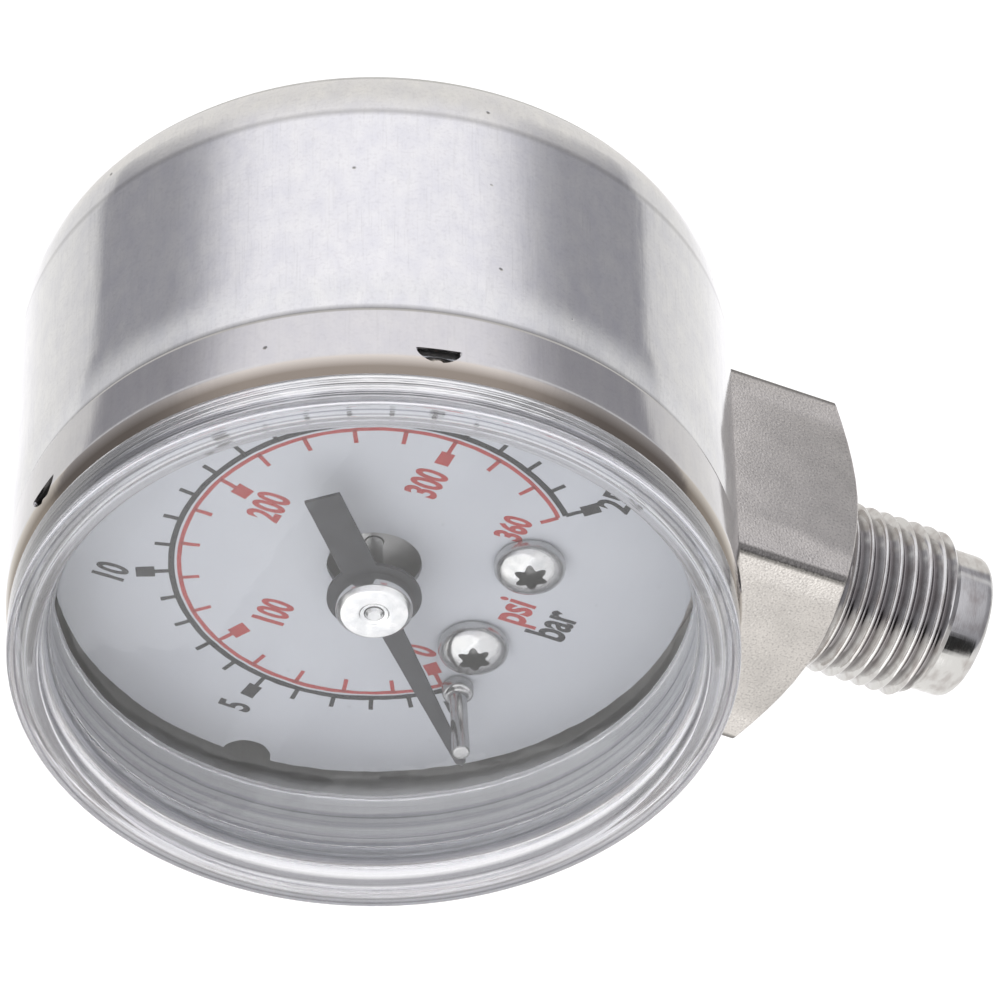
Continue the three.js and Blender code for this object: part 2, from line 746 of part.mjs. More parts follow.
function stopPin() {
  const front = 3.15;
  const radius = 0.5;
  const collar = { radius: 0.9, front: 7.2, back: DIAL_FRONT - GAP };
  return turned([[0, front], [radius - 0.15, front], [radius, front + 0.15], [radius, collar.front],
    [collar.radius, collar.front], [collar.radius, collar.back], [radius, collar.back],
    [radius, DIAL_BACK + 0.3], [0, DIAL_BACK + 0.3]], 16);
}

add('stop_pin', stopPin(), SCREW_STEEL, STOP_PIN);

// ---- Pointer and hub ----
// A tapered needle, a round middle and a square-ended tail, turned to the rest angle.

const POINTER = { thickness: 0.25, discR: 2.6, tailHalf: 1, tailEnd: 8.3, needleHalf: 0.65, tipHalf: 0.3 };
const HUB = { radius: 2.1, front: 3.95, chamfer: 0.25 };

function pointer() {
  const { thickness, discR, tailHalf, tailEnd, needleHalf, tipHalf } = POINTER;
  const layer = { front: POINTER_DEPTH, back: POINTER_DEPTH + thickness };
  const needle = new THREE.Shape([
    new THREE.Vector2(-tailHalf, -tailEnd),
    new THREE.Vector2(tailHalf, -tailEnd),
    new THREE.Vector2(tailHalf, 0),
    new THREE.Vector2(needleHalf, 0),
    new THREE.Vector2(tipHalf, POINTER_TIP_R - tipHalf),
    new THREE.Vector2(0, POINTER_TIP_R),
    new THREE.Vector2(-tipHalf, POINTER_TIP_R - tipHalf),
    new THREE.Vector2(-needleHalf, 0),
    new THREE.Vector2(-tailHalf, 0),
  ]);
  const body = join(plate(needle, layer), rod(discR, layer.front, layer.back, 32));
  const shaftHole = rod(ARBOR.journalR + GAP, layer.front - 1, layer.back + 1, 32);
  return cut(body, shaftHole).rotateY(POINTER_REST * DEGREE);
}

function pointerHub() {
  const { radius, front, chamfer } = HUB;
  const inner = ARBOR.journalR + GAP;
  const back = POINTER_DEPTH - GAP;
  return turned([[inner, front], [radius - chamfer, front], [radius, front + chamfer],
    [radius, back], [inner, back], [inner, front]], 32);
}

add('pointer', pointer(), POINTER_GREY);
add('pointer_hub', pointerHub(), SCREW_STEEL);

export default gauge;
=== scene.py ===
"""The looks of a Bourdon tube pressure gauge, nominal size 40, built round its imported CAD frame.

Metres, +Z up, and the dial faces -Y. The pieces are drawn in millimetres from a point on the
dial's axis 8 mm in front of the dial, as (x, depth, z): x to the right as the dial is read, depth
away from the reader and z up. A clock angle is in degrees clockwise from the top of the dial.
"""

import math

import bmesh
import bpy
from mathutils import Matrix, Vector


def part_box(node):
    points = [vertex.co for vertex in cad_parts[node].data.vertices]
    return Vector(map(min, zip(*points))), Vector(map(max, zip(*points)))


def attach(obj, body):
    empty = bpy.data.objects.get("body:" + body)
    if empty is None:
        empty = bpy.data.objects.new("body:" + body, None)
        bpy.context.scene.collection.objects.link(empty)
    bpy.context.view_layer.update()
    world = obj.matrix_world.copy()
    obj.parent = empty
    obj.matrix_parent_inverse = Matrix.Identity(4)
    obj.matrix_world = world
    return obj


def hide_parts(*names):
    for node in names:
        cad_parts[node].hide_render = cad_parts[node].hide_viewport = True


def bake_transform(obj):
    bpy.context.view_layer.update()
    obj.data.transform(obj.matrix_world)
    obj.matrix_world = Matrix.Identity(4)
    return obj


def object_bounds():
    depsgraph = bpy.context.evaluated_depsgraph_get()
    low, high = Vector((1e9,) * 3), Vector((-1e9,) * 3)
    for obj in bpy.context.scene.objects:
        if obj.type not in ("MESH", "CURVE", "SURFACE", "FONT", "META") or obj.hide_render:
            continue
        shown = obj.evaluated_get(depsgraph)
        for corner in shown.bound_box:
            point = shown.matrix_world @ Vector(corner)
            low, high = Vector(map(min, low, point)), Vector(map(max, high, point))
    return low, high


MM = 0.001
GAP = 0.05  # between pieces that rest on each other, as in the CAD model

# ---- Window ----
WINDOW_PANE = {"front": 1.4, "back": 2.9, "edge": 17.3}
WINDOW_RIM = 17.8
WINDOW_FLANGE = {"radius": 19.45, "front": -0.6, "back": 1.8}
WINDOW_SKIRT = {"inner": 17.6, "outer": 18.85, "back": 6.2}
WINDOW_PAINTED_BANDS = [  # middle radius, half width, share and tone of the light and dark bands painted on the window's edge: painted light and shade for the refraction there
    (17.69, 0.04, 0.8, (0.06, 0.06, 0.07, 1)),
    (18.1, 0.17, 0.5, (0.42, 0.41, 0.40, 1)),
    (18.68, 0.03, 0.6, (0.16, 0.16, 0.18, 1)),
    (19.05, 0.3, 0.3, (0.50, 0.51, 0.58, 1)),
]

# ---- Case ----
CASE_R = 19.6
CASE_WALL = 0.6
CASE_LIP = {"inner": 18.95, "outer": 19.3, "front": 1.9, "shoulder": 3}
CASE_BACK = 26
CASE_CORNER = {"across": 2.4, "along": 3.4}
CASE_GROOVE = {"edge": 6.5, "behind": 10, "sink": 0.2}  # rolled round the wall
CASE_CREASE = {"depth": 21.5, "drop": 0.1}  # where the wall starts to bend in
CASE_INSIDE_R = 19.05
SOCKET_HOLE = 13.8
SCREW_HEAD = {"radius": 1.95, "neck": 1, "depth": 0.95, "tip": 22.3}
SCREW_SLOT = {"width": 0.44, "depth": 0.45}
DIMPLE_WALL = 0.55
DENT = {"count": 5, "first": 3.5, "width": 2.4, "front": 2.7, "back": 3.6, "sink": 0.5}

# ---- Socket ----
STEM_DEPTH = 16.5
SHOULDER_Z = -26.2
SHOULDER_R = 6.6
CORNER_SLOPE = math.tan(math.radians(20))
BLOCK_FLATS = 14
BLOCK_EDGE_R = 0.3
NECK_FLATS = 13.6
BLOCK_TOP = -17.4
TURNED_ABOVE = -18  # the height where the blasted block ends and the turned carrier starts
SADDLE_R = 19.7
THREAD = {"major": 4.86, "minor": 4.25, "pitch": 0.907, "top": -26.3, "end": -34.0}
PILOT = {"radius": 4.1, "end": -36.2, "round": 0.55}
BORE = {"radius": 1.5, "top": -19, "mouth": 0.25, "narrow": 0.8, "narrow_top": -12}
MOVEMENT_HOLE = (0.8, 14, 18)  # radius, front and back, as for the next one
CASE_SCREW_HOLE = (1.05, 22, CASE_BACK)
CARRIER = {"half": 5, "front": 15.05, "back": 22.5, "boss_back": 24.75, "top": -9, "boss_foot": -14.5}
TUBE_POCKET = {"right": -2.1, "front": 15.5, "back": 21.2, "foot": -14.15, "top": -11}

# ---- Bourdon tube ----
TUBE = {"radius": 13.2, "start": 190.5, "sweep": 291.5, "depth": 18.35, "thick": 2, "wide": 5.5, "wall": 0.35}

# ---- Dial and its print ----
DIAL = {"front": 8, "back": 8.4, "radius": 18, "hole": 2.65}
DIAL_NOTCH = {"radius": 1.5, "depth": 1.3}
PRINT_THICKNESS = 0.02
SCALE_START = 225
SCALE_SWEEP = 270
LETTERS = {"size": 1.38, "narrow": 0.56, "bold": 0.08}  # type size over height, width share, thickening
NUMBER_HEIGHT = 1.85
LAST_NUMBER_HEIGHT = 1.6  # of the 360, which is printed smaller
# A mark or block has its inner and outer edge from the arc, and its width. A number has the radius
# of its middle, and a unit has its middle and height.
BAR_SCALE = {
    "full": 25, "step": 1, "numbered": 5, "radius": 11.3, "width": 0.34,
    "mark": (0, 1.0, 0.26), "block": (0.95, 2.0, 0.82),
    "numbers": {5: 14.35, 10: 14.65, 15: 14.5, 20: 14.5, 25: 14.4}, "unit": ("bar", (-0.45, -11.3), 2.35),
}
PSI_SCALE = {
    "full": 360, "step": 20, "numbered": 100, "radius": 10.86, "width": 0.24,
    "mark": (-1.05, 0, 0.24), "block": (-2.0, -1.0, 0.82),
    "numbers": {0: 7.7, 100: 6.9, 200: 7.4, 300: 7.2, 360: 8.3}, "unit": ("psi", (-0.3, -8.7), 2.3),
}

# ---- Pointer, hub, screws and pins ----
POINTER_REST = 226
POINTER = {"front": 5.2, "back": 5.45, "disc": 2.6, "tail_half": 1, "tail_end": 8.3}
NEEDLE = {"half": 0.65, "tip_half": 0.3, "tip": 14.7}
SHAFT_HOLE_R = 0.55
HUB = {"radius": 2.1, "front": 3.95, "chamfer": 0.28}
DIAL_SCREW = {"radius": 2, "front": 6.65, "shank": 0.95, "back": 10.65}
RECESS = {"radius": 0.8, "lobe": 0.17, "depth": 0.8}
STOP_PIN = {"radius": 0.5, "front": 3.15, "collar": 0.9, "collar_front": 7.2}

# ---- Studio ----
ROOM_MIDDLE = 26  # degrees from +X towards +Z, where the room is brightest behind the gauge
ROOM_LEVELS = [  # degrees away from the middle, brightness, and how blue it is
    (0, 1.06, 1.03), (34, 1.0, 1.03), (45, 0.8, 1.04), (56, 0.48, 1.05), (66, 0.35, 1.06), (97, 0.33, 1.06),
    (101, 0.72, 0.99), (120, 0.84, 0.98), (134, 0.92, 0.98), (152, 1.12, 1), (180, 1.2, 1),
]
ROOM_FRONT = {"towards": (-0.8, -0.6, 0), "start": 0.28, "full": 0.5, "colour": (0.97, 0.955, 0.93, 1)}
ROOM_BACK = {"towards": (0, 1, 0), "start": 0.775, "full": 0.83, "colour": (0.84, 0.82, 0.79, 1)}
ROOM_STRIP = {"middle": 0.61, "half": 0.08, "share": 0.6}  # a soft strip of light round the depth axis
ROOM_DARK = {"towards": (0.25, -0.92, -0.31), "start": 0.945, "full": 0.98, "colour": (0.03, 0.03, 0.03, 1)}
FLOOR = {"half": 4, "drop": 0.12, "tone": 0.95, "rough": 0.9, "glow": 0.35}
KEY_LIGHT = {"place": (-0.25, -0.75, 0.25), "size": 1.3, "power": 3.3}
VIEW = {"azimuth": 42.37, "elevation": 17.94, "roll": 72.2, "distance": 0.3706, "lens": 252}
TARGET = (8.2, 5.9, -3.6)  # millimetres from the dial's axis

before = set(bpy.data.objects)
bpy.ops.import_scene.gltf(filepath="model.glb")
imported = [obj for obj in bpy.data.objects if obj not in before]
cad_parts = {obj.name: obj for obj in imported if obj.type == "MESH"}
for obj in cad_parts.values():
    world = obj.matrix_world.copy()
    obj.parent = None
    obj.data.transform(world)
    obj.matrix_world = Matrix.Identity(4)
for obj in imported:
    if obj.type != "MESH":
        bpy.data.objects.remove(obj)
cad_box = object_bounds()
dial_low, dial_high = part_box("dial")
AXIS = Vector((
    (dial_low.x + dial_high.x) / 2,
    dial_low.y - DIAL["front"] * MM,
    (dial_low.z + dial_high.z) / 2,
))


def centre_of(node):
    """The middle of a CAD node as (x, z) in millimetres from the dial's axis."""
    low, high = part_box(node)
    middle = ((low + high) / 2 - AXIS) / MM
    return middle.x, middle.z


# ---- Shapes, as bmeshes in millimetres ----

def linked(name, data):
    """A new object in the scene."""
    made = bpy.data.objects.new(name, data)
    bpy.context.scene.collection.objects.link(made)
    return made


def mesh_data(name, mesh):
    """The bmesh as mesh data. It uses the bmesh up."""
    data = bpy.data.meshes.new(name)
    mesh.to_mesh(data)
    mesh.free()
    return data


def taken_from(holder):
    """A bmesh of an object as its modifiers or its curve leave it."""
    bpy.context.view_layer.update()
    evaluated = holder.evaluated_get(bpy.context.evaluated_depsgraph_get())
    mesh = bmesh.new()
    mesh.from_mesh(evaluated.to_mesh())
    return mesh


def clock_point(radius, clock):
    angle = math.radians(clock)
    return radius * math.sin(angle), radius * math.cos(angle)


def clock_place(radius, depth, clock):
    x, z = clock_point(radius, clock)
    return x, depth, z


def softened(outline, radius, steps=3):
    """The outline with each inner corner cut back by radius and rounded."""
    points = [Vector(p) for p in outline]
    soft = [points[0]]
    for before, corner, after in zip(points, points[1:], points[2:]):
        reach = min(radius, (before - corner).length / 2.2, (after - corner).length / 2.2)
        start = corner + (before - corner).normalized() * reach
        end = corner + (after - corner).normalized() * reach
        for i in range(steps + 1):
            t = i / steps
            soft.append(start.lerp(corner, t).lerp(corner.lerp(end, t), t))
    soft.append(points[-1])
    return [(p.x, p.y) for p in soft]


def joined(mesh, ring, after):
    """Adds faces between two closed rings of points. A ring may be one point, repeated."""
    for i in range(len(ring)):
        j = (i + 1) % len(ring)
        corners = dict.fromkeys((ring[i], ring[j], after[j], after[i]))
        if len(corners) > 2:
            mesh.faces.new(corners)


def lathe(outline, segments=96, centre=(0, 0)):
    """A (radius, depth) outline turned round the depth axis. It ends on the axis or closes."""
    mesh = bmesh.new()
    rings = []
    for radius, depth in outline:
        if radius < 1e-6:
            rings.append([mesh.verts.new((centre[0], depth, centre[1]))] * segments)
            continue
        ring = []
        for i in range(segments):
            angle = 2 * math.pi * i / segments
            x, z = centre[0] + radius * math.cos(angle), centre[1] + radius * math.sin(angle)
            ring.append(mesh.verts.new((x, depth, z)))
        rings.append(ring)
    for ring, after in zip(rings, rings[1:]):
        joined(mesh, ring, after)
    bmesh.ops.remove_doubles(mesh, verts=mesh.verts, dist=1e-5)
    return mesh


def drill(radius, front, back, centre, segments=32):
    """A round bar along the depth."""
    return lathe([(0, front), (radius, front), (radius, back), (0, back)], segments, centre)


def turned_to(mesh, clock):
    """The mesh turned round the dial's axis, from the top of the dial to a clock angle."""
    bmesh.ops.transform(mesh, matrix=Matrix.Rotation(math.radians(clock), 4, "Y"), verts=mesh.verts)
    return mesh


def box_between(low, high):
    mesh = bmesh.new()
    size = Vector(high) - Vector(low)
    place = Matrix.Translation((Vector(low) + Vector(high)) / 2) @ Matrix.Diagonal((*size, 1))
    bmesh.ops.create_cube(mesh, size=1, matrix=place)
    return mesh


def from_curve(curve, front, back, bevel=0.0):
    """A flat piece from a 2D curve or letters, drawn as the reader sees them."""
    curve.extrude = (back - front) / 2 - bevel
    curve.bevel_depth = bevel
    curve.bevel_resolution = 1
    curve.fill_mode = "BOTH"
    holder = linked("flat", curve)
    mesh = taken_from(holder)
    bpy.data.objects.remove(holder)
    place = Matrix.Translation((0, (front + back) / 2, 0)) @ Matrix.Rotation(math.pi / 2, 4, "X")
    bmesh.ops.transform(mesh, matrix=place, verts=mesh.verts)
    bmesh.ops.remove_doubles(mesh, verts=mesh.verts, dist=1e-4)
    return mesh


def flat_piece(outlines, front, back, bevel):
    """A flat piece with (x, z) outlines: the first is its edge and the others are holes."""
    curve = bpy.data.curves.new("outline", "CURVE")
    curve.dimensions = "2D"
    curve.offset = -bevel
    for outline in outlines:
        spline = curve.splines.new("POLY")
        spline.points.add(len(outline) - 1)
        for point, (x, z) in zip(spline.points, outline):
            point.co = (x, z, 0, 1)
        spline.use_cyclic_u = True
    return from_curve(curve, front, back, bevel)


def circle(radius, segments=48):
    return [clock_point(radius, -360 * i / segments) for i in range(segments)]


def combined(base, tools, operation="DIFFERENCE"):
    """The base with each tool cut away or joined on."""
    def temporary(mesh):
        bmesh.ops.recalc_face_normals(mesh, faces=mesh.faces)
        return linked("temporary", mesh_data("temporary", mesh))

    target = temporary(base)
    helpers = [temporary(tool) for tool in tools]
    for helper in helpers:
        modifier = target.modifiers.new("combine", "BOOLEAN")
        modifier.operation = operation
        modifier.solver = "EXACT"
        modifier.object = helper
    result = taken_from(target)
    for holder in [target, *helpers]:
        bpy.data.objects.remove(holder)
    return result


def merged(meshes):
    """Several bmeshes as one, not joined to each other."""
    whole = bmesh.new()
    for mesh in meshes:
        data = mesh_data("part", mesh)
        whole.from_mesh(data)
        bpy.data.meshes.remove(data)
    return whole


def piece(name, mesh, materials, body="root", replaces=(), sharp=30):
    """Turns a bmesh in millimetres into a named piece in the row frame, on its CAD body."""
    place = Matrix.Translation(AXIS) @ Matrix.Scale(MM, 4)
    bmesh.ops.transform(mesh, matrix=place, verts=mesh.verts)
    bmesh.ops.recalc_face_normals(mesh, faces=mesh.faces)
    for face in mesh.faces:
        face.smooth = True
    for edge in mesh.edges:
        edge.smooth = len(edge.link_faces) == 2 and edge.calc_face_angle() < math.radians(sharp)
    data = mesh_data(name, mesh)
    for material in materials:
        data.materials.append(material)
    data.validate()  # takes out the doubled faces that a boolean can leave
    made = linked(name, data)
    if replaces:
        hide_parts(*replaces)
    if body:
        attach(made, body)
    return made


# ---- Procedural materials ----

class Nodes:
    """Adds shader nodes to a tree, with a link or a value for each input."""

    def __init__(self, tree):
        self.tree = tree

    def add(self, kind, inputs, **settings):
        made = self.tree.nodes.new(kind)
        for key, value in settings.items():
            setattr(made, key, value)
        for key, value in inputs.items():
            if isinstance(value, bpy.types.NodeSocket):
                self.tree.links.new(value, made.inputs[key])
            else:
                made.inputs[key].default_value = value
        return made.outputs

    def number(self, operation, a, b=0.0):
        return self.add("ShaderNodeMath", {0: a, 1: b}, operation=operation)[0]

    def off(self, value, middle):
        """How far the value is from middle."""
        return self.number("ABSOLUTE", self.number("SUBTRACT", value, middle))

    def span(self, value, low, high, to_low=0.0, to_high=1.0):
        """The value brought from the range low to high into the range to_low to to_high."""
        limits = {0: value, 1: low, 2: high, 3: to_low, 4: to_high}
        return self.add("ShaderNodeMapRange", limits)[0]

    def mix(self, share, first, second):
        """The second colour laid over the first by share."""
        return self.add("ShaderNodeMix", {0: share, 6: first, 7: second}, data_type="RGBA")[2]


class Finish(Nodes):
    """One material, built node by node. Its patterns are in millimetres from the dial's axis."""

    def __init__(self, name, surface):
        self.material = bpy.data.materials.new(name)
        self.material.use_nodes = True
        super().__init__(self.material.node_tree)
        self.shader = self.tree.nodes["Principled BSDF"]
        self.relief = None
        for socket, value in surface.items():
            self.shader.inputs[socket].default_value = value

    def place(self, stretch=(1, 1, 1)):
        """Places in millimetres, stretched along x, depth and z."""
        scale = Vector(stretch) / MM
        origin = Vector([-a * b for a, b in zip(AXIS, scale)])
        coordinates = self.add("ShaderNodeTexCoord", {})["Object"]
        return self.add("ShaderNodeMapping", {"Vector": coordinates, "Scale": scale, "Location": origin})[0]

    def noise(self, scale, detail, stretch=(1, 1, 1)):
        return self.noise_on(self.place(stretch), scale, detail)

    def noise_on(self, vector, scale, detail):
        return self.add("ShaderNodeTexNoise", {"Vector": vector, "Scale": scale, "Detail": detail})[0]

    def cells(self, scale):
        """The distance to the nearest of scattered points."""
        return self.add("ShaderNodeTexVoronoi", {"Vector": self.place(), "Scale": scale})["Distance"]

    def axes(self):
        """The x, depth and z of a point."""
        return self.add("ShaderNodeSeparateXYZ", {0: self.place()})

    def distance(self, a, b):
        """The length of the two sides a and b taken together."""
        squares = self.number("ADD", self.number("MULTIPLY", a, a), self.number("MULTIPLY", b, b))
        return self.number("SQRT", squares)

    def radius(self, centre=(0, 0)):
        """How far a point is from the line along the depth through centre."""
        axes = self.axes()
        x = self.number("SUBTRACT", axes[0], centre[0])
        z = self.number("SUBTRACT", axes[2], centre[1])
        return self.distance(x, z)

    def bump(self, height, distance):
        """Raises the surface by height times distance, in millimetres."""
        inputs = {"Height": height, "Distance": distance * MM}
        if self.relief:
            inputs["Normal"] = self.relief
        self.relief = self.add("ShaderNodeBump", inputs)[0]
        self.wear("Normal", self.relief)

    def wear(self, socket, value):
        self.tree.links.new(value, self.shader.inputs[socket])

    def coat(self, tone, pattern, low, high):
        """Its colour, and a roughness from low to high, as the pattern goes."""
        self.wear("Base Color", tone)
        self.wear("Roughness", self.span(pattern, 0.3, 0.7, low, high))


def grey(level, warm=0.0):
    """A grey of that brightness, warmer or cooler by warm."""
    return level * (1 + warm), level, level * (1 - warm), 1


def case_steel():
    """Drawn and polished, darker in front of the groove, with painted shade in the groove, along the crease,
    in the dents and on the lip's cone by the window's flange.
    """
    finish = Finish("case_polished_steel", {"Metallic": 1})
    lines = finish.noise(9, 4, (1, 0.03, 1))
    streaks = finish.noise(1.6, 3, (1, 0.12, 1))
    blotches = finish.noise(1.1, 5, (1, 0.6, 1))
    pebbles = finish.noise(4.5, 2)
    specks = finish.span(finish.cells(0.32), 0.02, 0.045, 1.0, 0.0)
    depth = finish.axes()[1]
    cone = finish.span(depth, CASE_LIP["shoulder"] - 0.1, CASE_LIP["shoulder"] + 0.05, 1.0, 0.0)
    collar = finish.span(depth, CASE_GROOVE["edge"] - 0.1, CASE_GROOVE["edge"] + 0.1, 0.45, 0.0)
    # painted shade: masks for the groove, the crease and the sunk floor of the dents
    groove = finish.span(finish.off(depth, CASE_GROOVE["edge"] + 0.05), 0.1, 0.38, 0.55, 0.0)
    crease = finish.span(finish.off(depth, CASE_CREASE["depth"]), 0.05, 0.35, 0.3, 0.0)
    sunk = finish.span(finish.radius(), CASE_R - 0.2, CASE_R - 0.08, 1.0, 0.0)
    along = finish.span(finish.off(depth, DENT["front"] + 0.5), 0.42, 0.5, 0.92, 0.0)
    dent_shade_and_roughness = finish.number("MULTIPLY", sunk, along)
    tone = finish.mix(finish.span(blotches, 0.3, 0.7), (0.76, 0.76, 0.785, 1), grey(0.84, 0.004))
    tone = finish.mix(finish.span(lines, 0.55, 0.8, 0.0, 0.35), tone, grey(0.62))
    tone = finish.mix(finish.span(pebbles, 0.5, 0.75, 0.0, 0.28), tone, (0.6, 0.59, 0.61, 1))
    tone = finish.mix(collar, tone, (0.52, 0.50, 0.50, 1))
    # painted shade: the lip's cone is dark brown next to the window's flange and lightens to a warm grey
    # towards the shoulder
    shoulder = finish.span(depth, CASE_LIP["shoulder"] - 0.7, CASE_LIP["shoulder"] - 0.1)
    tone = finish.mix(cone, tone, finish.mix(shoulder, (0.30, 0.26, 0.22, 1), (0.68, 0.63, 0.57, 1)))
    # painted shade darkens the groove, the crease and the dents; the specks are dark marks in the steel
    for share in (groove, crease, dent_shade_and_roughness, finish.number("MULTIPLY", specks, 0.8)):
        tone = finish.mix(share, tone, (0.09, 0.085, 0.08, 1))
    finish.wear("Base Color", tone)
    rough = finish.span(streaks, 0.3, 0.7, 0.08, 0.13)
    for more in (finish.span(lines, 0.4, 0.8, 0, 0.05), finish.span(dent_shade_and_roughness, 0, 1, 0, 0.3)):
        rough = finish.number("ADD", rough, more)
    finish.wear("Roughness", rough)
    finish.bump(streaks, 0.0045)
    finish.bump(blotches, 0.002)
    finish.bump(pebbles, 0.0012)
    finish.bump(lines, 0.0007)
    finish.bump(specks, -0.03)
    return finish.material


def dull_steel():
    """The unpolished inside of the case: drawing marks along the depth, and stains."""
    finish = Finish("case_inside_steel", {"Metallic": 1})
    drawn = finish.noise(5, 3, (1, 0.05, 1))
    stains = finish.noise(0.5, 4)
    tone = finish.mix(finish.span(stains, 0.3, 0.7), (0.58, 0.585, 0.57, 1), (0.7, 0.7, 0.69, 1))
    finish.coat(tone, drawn, 0.35, 0.5)
    finish.bump(drawn, 0.004)
    return finish.material


def blasted_steel():
    """Bead-blasted: an even grain of fine craters with dark and bright specks, and dark edges."""
    finish = Finish("blasted_steel", {"Metallic": 1})
    grain = finish.noise(8, 3)
    craters = finish.cells(6.5)
    patches = finish.noise(0.6, 3)
    tone = finish.mix(finish.span(patches, 0.3, 0.7), (0.62, 0.595, 0.575, 1), (0.72, 0.69, 0.665, 1))
    tone = finish.mix(finish.span(grain, 0.53, 0.66, 0.0, 0.42), tone, (0.26, 0.245, 0.25, 1))
    tone = finish.mix(finish.span(grain, 0.42, 0.3, 0.0, 0.6), tone, (0.86, 0.84, 0.81, 1))
    axes = finish.axes()
    out = finish.number("ADD", finish.off(axes[0], 0), finish.off(axes[1], STEM_DEPTH))
    edge = finish.span(out, BLOCK_FLATS - 0.5, BLOCK_FLATS - 0.3, 0.0, 0.75)
    tone = finish.mix(edge, tone, (0.10, 0.095, 0.09, 1))
    finish.coat(tone, grain, 0.28, 0.42)
    finish.bump(grain, 0.02)
    finish.bump(craters, 0.014)
    return finish.material


def turned_steel(name="turned_steel", centre=(0, 0), tone=0.72, shade_below=None):
    """Turned: fine rings round its own axis. A recess there gets painted shade below the depth shade_below.
    """
    finish = Finish(name, {"Metallic": 1})
    away = finish.radius(centre)
    rings = finish.add("ShaderNodeCombineXYZ", {0: away, 1: 0.0, 2: 0.0})[0]
    grooves = finish.noise_on(rings, 14, 3)
    stains = finish.noise(1.6, 3)
    base = finish.mix(finish.span(stains, 0.35, 0.7), grey(tone, 0.004), grey(tone * 0.86, -0.01))
    if shade_below:
        depth = finish.axes()[1]
        middle = finish.span(away, 1.0, 1.05, 1.0, 0.0)
        below = finish.span(depth, shade_below, shade_below + 0.2, 0.0, 0.8)
        # painted shade inside the recess, deeper than shade_below
        base = finish.mix(finish.number("MULTIPLY", middle, below), base, (0.05, 0.048, 0.045, 1))
    finish.coat(base, grooves, 0.12, 0.24)
    finish.bump(grooves, 0.004)
    return finish.material


def thread_steel():
    """Cut bright: tool marks round the stem, stains, and darker in the roots of the thread."""
    finish = Finish("thread_steel", {"Metallic": 1})
    marks = finish.noise(16, 3, (0.12, 0.12, 1))
    stains = finish.noise(0.9, 4, (1, 1, 2.2))
    axes = finish.axes()
    away = finish.distance(axes[0], finish.number("SUBTRACT", axes[1], STEM_DEPTH))
    root = finish.span(away, THREAD["minor"] + 0.02, THREAD["minor"] + 0.3, 0.8, 0.0)
    threaded = finish.span(axes[2], THREAD["end"] + 0.3, THREAD["end"] + 0.5)
    tone = finish.mix(finish.span(stains, 0.45, 0.75), grey(0.72, 0.006), (0.50, 0.47, 0.46, 1))
    tone = finish.mix(finish.number("MULTIPLY", root, threaded), tone, (0.16, 0.145, 0.15, 1))
    finish.coat(tone, marks, 0.07, 0.16)
    finish.bump(marks, 0.003)
    return finish.material


def stamped_steel():
    """Stamped sheet: a fine long grain across the plate, with stains, in a grey kept dark as painted shade
    for the inside of the case behind the dial.
    """
    finish = Finish("stamped_steel", {"Metallic": 1})
    grain = finish.noise(12, 3, (0.06, 1, 1))
    stains = finish.noise(0.6, 4)
    # painted shade: the plates' grey is kept dark for the shade behind the dial
    tone = finish.mix(finish.span(stains, 0.3, 0.7), grey(0.36, 0.01), grey(0.48))
    finish.coat(tone, grain, 0.28, 0.42)
    finish.bump(grain, 0.004)
    return finish.material


def tube_alloy():
    """Drawn tube: a warm grey with soft heat tints in broad patches along it."""
    finish = Finish("tube_alloy", {"Metallic": 1})
    drawn = finish.noise(4, 3, (0.4, 3, 0.4))
    tint = finish.noise(0.35, 2)
    tone = finish.mix(finish.span(tint, 0.4, 0.75), (0.60, 0.56, 0.50, 1), (0.52, 0.43, 0.31, 1))
    finish.coat(tone, drawn, 0.22, 0.36)
    finish.bump(drawn, 0.004)
    return finish.material


def spring_alloy():
    """Rolled ribbon, a little blue."""
    finish = Finish("spring_alloy", {"Metallic": 1})
    rolled = finish.noise(10, 2, (1, 0.2, 1))
    finish.coat(finish.mix(rolled, (0.40, 0.43, 0.47, 1), (0.58, 0.60, 0.63, 1)), rolled, 0.2, 0.34)
    finish.bump(rolled, 0.002)
    return finish.material


def dial_paint():
    """Pale satin paint, slightly uneven, with a few dust specks."""
    finish = Finish("dial_paint", {"Metallic": 0, "IOR": 1.45})
    cloud = finish.noise(0.12, 3)
    peel = finish.noise(3.5, 2)
    dust = finish.span(finish.cells(0.42), 0.03, 0.06, 1.0, 0.0)
    tone = finish.mix(finish.span(cloud, 0.3, 0.7), (0.515, 0.53, 0.575, 1), (0.555, 0.57, 0.61, 1))
    tone = finish.mix(finish.number("MULTIPLY", dust, 0.35), tone, (0.35, 0.36, 0.38, 1))
    finish.coat(tone, peel, 0.42, 0.55)
    finish.bump(peel, 0.004)
    return finish.material


def ink(name, dark, light):
    """Printed ink: thin places let a little of the paint through."""
    finish = Finish(name, {"Metallic": 0, "Specular IOR Level": 0.25})
    screen = finish.noise(6, 3)
    finish.coat(finish.mix(finish.span(screen, 0.35, 0.75), dark, light), screen, 0.4, 0.6)
    finish.bump(screen, 0.003)
    return finish.material


def pointer_coat():
    """A dark satin coating with a fine grain."""
    finish = Finish("pointer_coat", {"Metallic": 0, "Specular IOR Level": 0.3})
    grain = finish.noise(9, 3)
    rubbed = finish.noise(0.9, 3)
    tone = finish.mix(finish.span(rubbed, 0.35, 0.75), (0.022, 0.023, 0.028, 1), (0.04, 0.041, 0.048, 1))
    finish.coat(tone, grain, 0.45, 0.6)
    finish.bump(grain, 0.002)
    return finish.material


